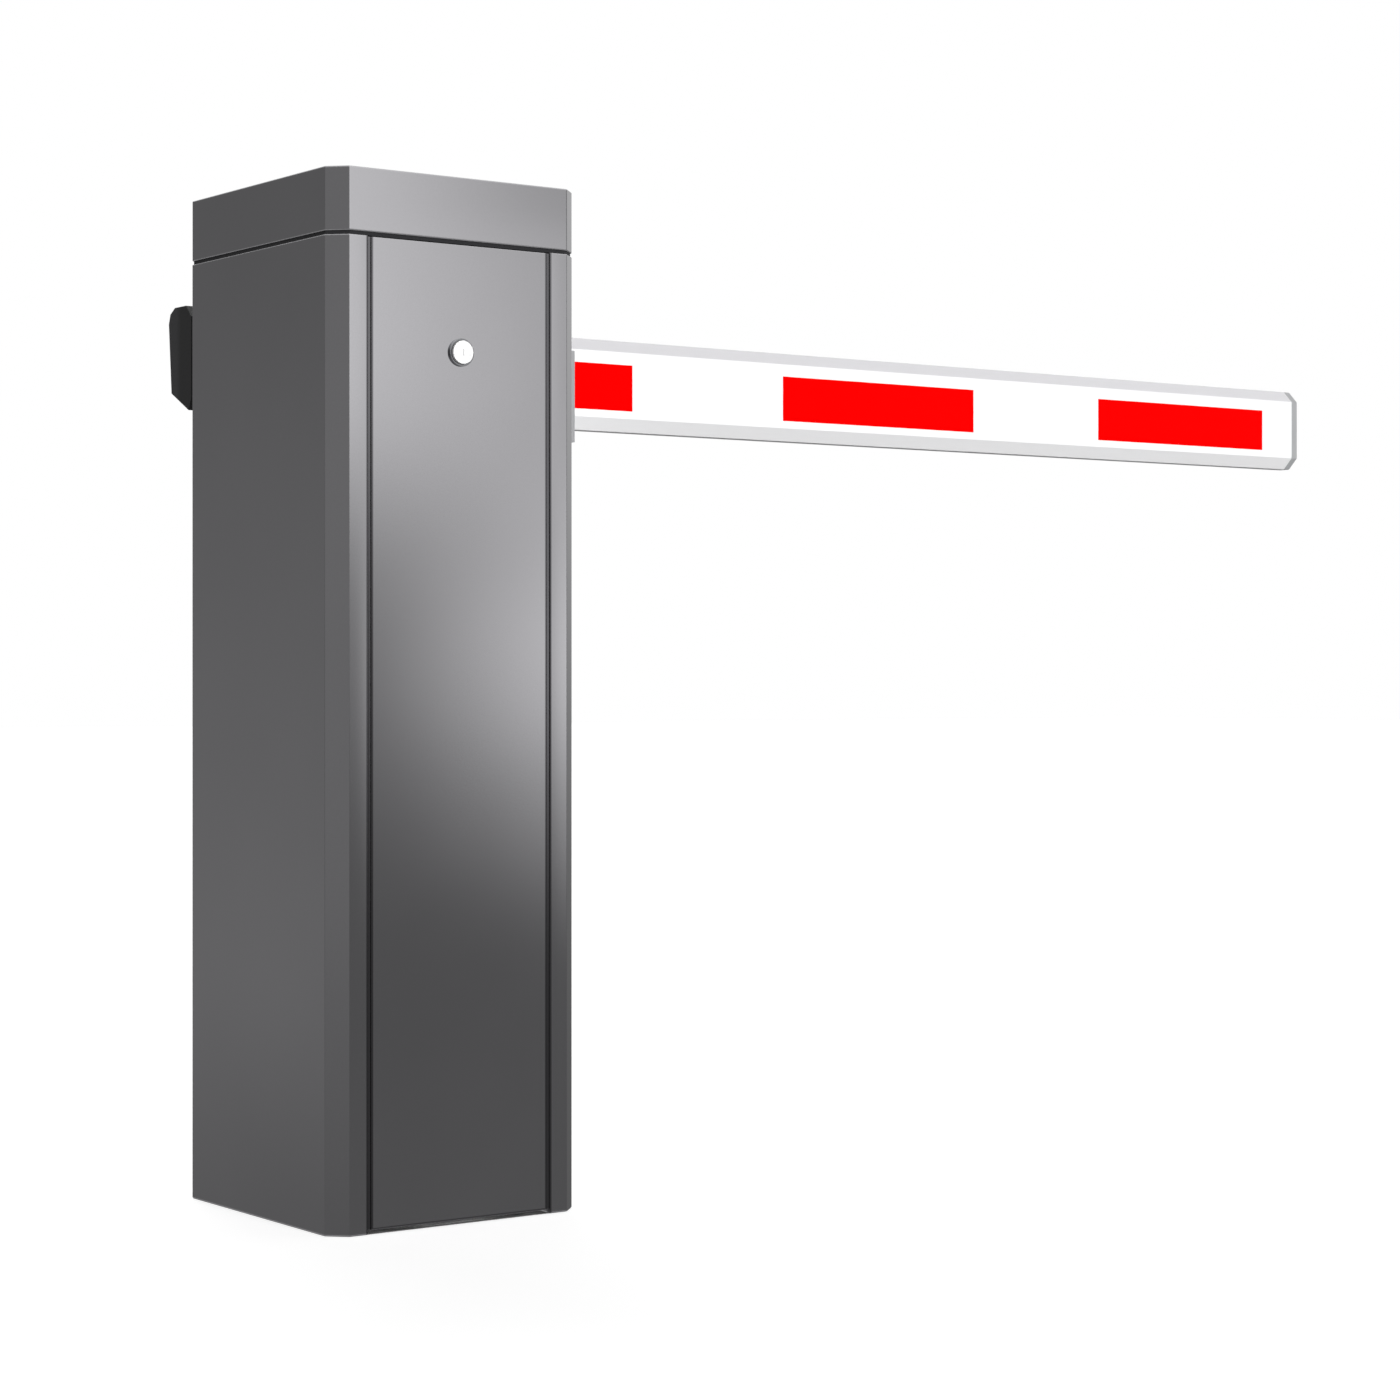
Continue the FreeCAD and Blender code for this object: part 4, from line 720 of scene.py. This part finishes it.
def board_parts():
    """Generic chips, three capacitors and a lamp: centre, size and height above the board."""
    chips = []
    for x, z, wide, tall, height in ((-43, 6, 18, 28, 2.5), (-7, 4, 26, 12, 3.0), (-3, -19, 10, 6, 1.8),
                                     (23, -17, 10, 6, 1.8), (53, -40, 18, 20, 5.0)):
        low = board_place(x - wide / 2, z - tall / 2, height)
        chips.append((low, board_place(x + wide / 2, z + tall / 2, -0.1)))
    add_piece("board_chips", box_mesh("board_chips", chips), "chip", "cabinet", smooth=False)
    cans = [(board_place(x, z, -0.1), board_place(x, z, height), radius)
            for x, z, radius, height in ((28, 14, 6, 13), (44, 14, 6, 13), (60, 0, 4, 9))]
    add_piece("board_capacitors", disc_mesh("board_capacitors", cans), "aluminium", "cabinet",
              smooth=False)
    lamp = disc_mesh("board_lamp", [(board_place(-64, 24, -0.1), board_place(-64, 24, 3.5), 1.8)], 14)
    add_piece("board_lamp", lamp, "red_plastic", "cabinet", smooth=False)


def rating_plates():
    """Blank plates on the transformer's core, the motor plate and the breaker."""
    plates = []
    for corner, wide, tall in ((at("transformer", 0.5, 0, 1, -20, 7.5, -10), 40, 8),
                               (at("motor_plate", 0.5, 0, 0.5, 10, -0.5, -10), 44, 26),
                               (at("circuit_breaker", 0.5, 0, 0, -15, 3.5, 13), 30, 8)):
        plates.append((corner, corner + Vector((wide, 0.8, tall)) * MM))
    add_piece("rating_plates", box_mesh("rating_plates", plates), "label", "cabinet",
              smooth=False)


# ---- scene: camera, light, floor -------------------------------------------------------

FOCAL_LENGTH, SENSOR = 81.3, 36.0        # millimetres
CAMERA_PLACE = (-1.5941, -2.7407, 0.5199)
CAMERA_HEADING = -35.957                 # degrees from the door's normal
CAMERA_SHIFT = -0.0134                   # share of the picture's height


def camera():
    """A level camera at the photo's viewing angle."""
    data = bpy.data.cameras.new("camera")
    data.lens = FOCAL_LENGTH
    data.sensor_width = SENSOR
    data.shift_y = CAMERA_SHIFT
    eye = bpy.data.objects.new("camera", data)
    eye.location = CAMERA_PLACE
    eye.rotation_euler = (math.radians(90), 0, math.radians(CAMERA_HEADING))
    scene.collection.objects.link(eye)
    scene.camera = eye


FLOOR_SIZE, FLOOR_DROP = 60, 0.0005      # metres
FLOOR_GLOW = 0.86
CONTACT_SHADE = 0.15                     # metres from the object within which the glow fades


def floor():
    """Pale floor; its own glow, seen by the camera only, keeps it level with the white backdrop."""
    bpy.ops.mesh.primitive_plane_add(size=FLOOR_SIZE, location=(0, 0, -FLOOR_DROP))
    plane = bpy.context.object
    plane.name = "floor"
    material, graph, shader, coords = start_material("floor")
    cloud = graph.noise(coords, 0.8, 3.0)
    wire(graph, graph.mix(cloud, (0.24, 0.24, 0.24), (0.28, 0.28, 0.28)), shader, "Base Color")
    shader.inputs["Roughness"].default_value = 0.9
    shader.inputs["Emission Color"].default_value = (1, 1, 1, 1)
    seen = graph.add("ShaderNodeLightPath").outputs["Is Camera Ray"]
    open_air = graph.add("ShaderNodeAmbientOcclusion", {"Distance": CONTACT_SHADE}, samples=8).outputs["AO"]
    glow = graph.math("MULTIPLY", graph.spread(open_air, 0.22, 0.48), FLOOR_GLOW)
    wire(graph, graph.math("MULTIPLY", seen, glow), shader, "Emission Strength")
    plane.data.materials.append(material)
    plane.visible_glossy = False


class Room:
    """Reflected brightness as a function of heading (degrees from +X) and rise (slope above level)."""

    def __init__(self, graph):
        self.graph = graph
        way = graph.add("ShaderNodeTexCoord").outputs["Generated"]
        x, y, z = graph.add("ShaderNodeSeparateXYZ", {0: way}).outputs
        flat = graph.math("SQRT", graph.math("ADD", graph.math("MULTIPLY", x, x),
                                             graph.math("MULTIPLY", y, y)))
        self.rise = graph.math("DIVIDE", z, graph.math("MAXIMUM", flat, 0.001))
        self.heading = graph.math("MULTIPLY", graph.math("ARCTAN2", y, x), 180 / math.pi)
        self.light = graph.math("ADD", 0.0, 0.0)

    def step(self, value, middle, half):
        return self.graph.spread(value, middle - half, middle + half, smooth=True)

    def sector(self, low, high, soft):
        fade_in = self.step(self.heading, low, soft)
        fade_out = self.graph.math("SUBTRACT", 1.0, self.step(self.heading, high, soft))
        return self.graph.math("MULTIPLY", fade_in, fade_out)

    def band(self, low, high, soft_low, soft_high):
        fade_in = self.step(self.rise, low, soft_low)
        fade_out = self.graph.math("SUBTRACT", 1.0, self.step(self.rise, high, soft_high))
        return self.graph.math("MULTIPLY", fade_in, fade_out)

    def put(self, level, *masks):
        part = level
        for mask in masks:
            part = self.graph.math("MULTIPLY", part, mask)
        self.light = self.graph.math("ADD", self.light, part)


# What the satin paint mirrors: levels of brightness, headings in degrees, rises as slopes.
ROOM_LEVEL = 0.145
SOFT_LEVEL = 0.12                        # light on matt surfaces from all sides
FRONT_WALL = (-104, -36, 9)              # from, to, and half the width of the soft edge
HANDOVER = (-60.3, -56.3)                # the high window gives way to the low one in here
LOW_WINDOW = (0.158, 0.72)               # level at the start and at the end of the handover
HIGH_WINDOW = (0.69, -0.17)
SILL_TILT = 0.0205


def studio_world():
    """White backdrop; reflections see soft windows at the front and a dim room elsewhere."""
    world = bpy.data.worlds.new("studio")
    world.use_nodes = True
    scene.world = world
    tree = world.node_tree
    tree.nodes.clear()
    graph = Graph(tree)
    room = Room(graph)
    room.put(ROOM_LEVEL)
    # front windows: a high one on the left gives way to a lower one on the right
    across = graph.spread(room.heading, *HANDOVER)
    front = room.sector(*FRONT_WALL)
    low_level = graph.spread(across, 0, 1, *LOW_WINDOW)
    high_level = graph.spread(across, 0, 1, *HIGH_WINDOW)
    sill = graph.math("ADD", room.rise, graph.math("MULTIPLY", across, SILL_TILT))
    room.put(low_level, front, room.step(sill, -0.022, 0.054))
    room.put(high_level, front, room.step(room.rise, 0.060, 0.038))
    room.put(graph.math("MULTIPLY", across, 0.15), front, room.band(-0.02, 0.03, 0.02, 0.02))
    room.put(graph.math("MULTIPLY", across, -0.16), front, room.step(room.rise, 0.142, 0.012))
    # dim glow behind the left side, and the grey of the front corner
    room.put(0.02, room.sector(70, 175, 15))
    room.put(0.07, room.sector(90, 150, 12), room.band(-0.137, 0.03, 0.05, 0.15))
    room.put(0.10, room.sector(-178, -112, 10), room.step(room.rise, -0.12, 0.10))
    # side window, ceiling and floor glow
    room.put(0.42, room.sector(8, 66, 14), room.step(room.rise, 0.02, 0.14))
    room.put(0.3, room.sector(-8, 8, 4), room.step(room.rise, -0.04, 0.2))
    room.put(0.6, room.step(room.rise, 0.36, 0.15))
    room.put(0.3, graph.math("SUBTRACT", 1.0, room.step(room.rise, -0.28, 0.09)))
    shade = graph.add("ShaderNodeCombineXYZ", {i: room.light for i in range(3)}).outputs[0]
    mirrored = graph.add("ShaderNodeBackground", {"Color": shade, "Strength": 1.0}).outputs[0]
    soft, white = (graph.add("ShaderNodeBackground", {"Color": (1, 1, 1, 1), "Strength": level}).outputs[0]
                   for level in (SOFT_LEVEL, 1.0))
    rays = graph.add("ShaderNodeLightPath").outputs
    lit = graph.add("ShaderNodeMixShader", {0: rays["Is Glossy Ray"], 1: soft, 2: mirrored}).outputs[0]
    seen = graph.add("ShaderNodeMixShader", {0: rays["Is Camera Ray"], 1: lit, 2: white}).outputs[0]
    graph.add("ShaderNodeOutputWorld", {"Surface": seen})


def sun(name, source, strength, spread):
    """A distant soft lamp shining from the given direction; it leaves no mirror spots."""
    data = bpy.data.lights.new(name, "SUN")
    data.energy = strength * math.pi
    data.angle = math.radians(spread)
    lamp = bpy.data.objects.new(name, data)
    lamp.rotation_euler = (-Vector(source)).to_track_quat("-Z", "Y").to_euler()
    lamp.visible_glossy = False
    scene.collection.objects.link(lamp)


STRIP_WIDTH, STRIP_HEIGHT = 0.02, 0.7    # metres
STRIP_INSET, STRIP_BEHIND = 14, 12       # from the door frame's side and front, in millimetres


def service_lights():
    """Two soft strips behind the jambs, which only show with the door open."""
    low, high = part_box("door_frame")
    for side, watts in ((-1, 0.45), (1, 0.75)):
        data = bpy.data.lights.new("service_light", "AREA")
        data.shape = "RECTANGLE"
        data.size, data.size_y = STRIP_WIDTH, STRIP_HEIGHT
        data.energy = watts
        lamp = bpy.data.objects.new("service_light", data)
        lamp.location = (side * (high.x - STRIP_INSET * MM), low.y + STRIP_BEHIND * MM,
                         (low.z + high.z) / 2)
        lamp.rotation_euler = Vector((-0.5 * side, 0.86, 0)).to_track_quat("-Z", "Z").to_euler()
        lamp.visible_camera = False
        lamp.visible_glossy = False
        scene.collection.objects.link(lamp)


def lights():
    """A level key in front of the boom, two behind it and weak ones at the ends."""
    sun("key", (0.05, -1.0, 0.03), 1.12, 12)
    sun("back", (0.25, 0.6, 0.85), 0.44, 30)
    sun("back_low", (0.25, 1.0, 0.10), 0.5, 30)
    sun("boom_end", (1.0, 0.15, 0.25), 0.16, 30)
    sun("tail_end", (-1.0, 0.10, 0.25), 0.16, 30)


finish_nodes()
hide_boom_from_mirrors()
weather_lip()
balance_springs()
wiring()
terminal_screws()
board_parts()
rating_plates()
camera()
floor()
studio_world()
lights()
service_lights()
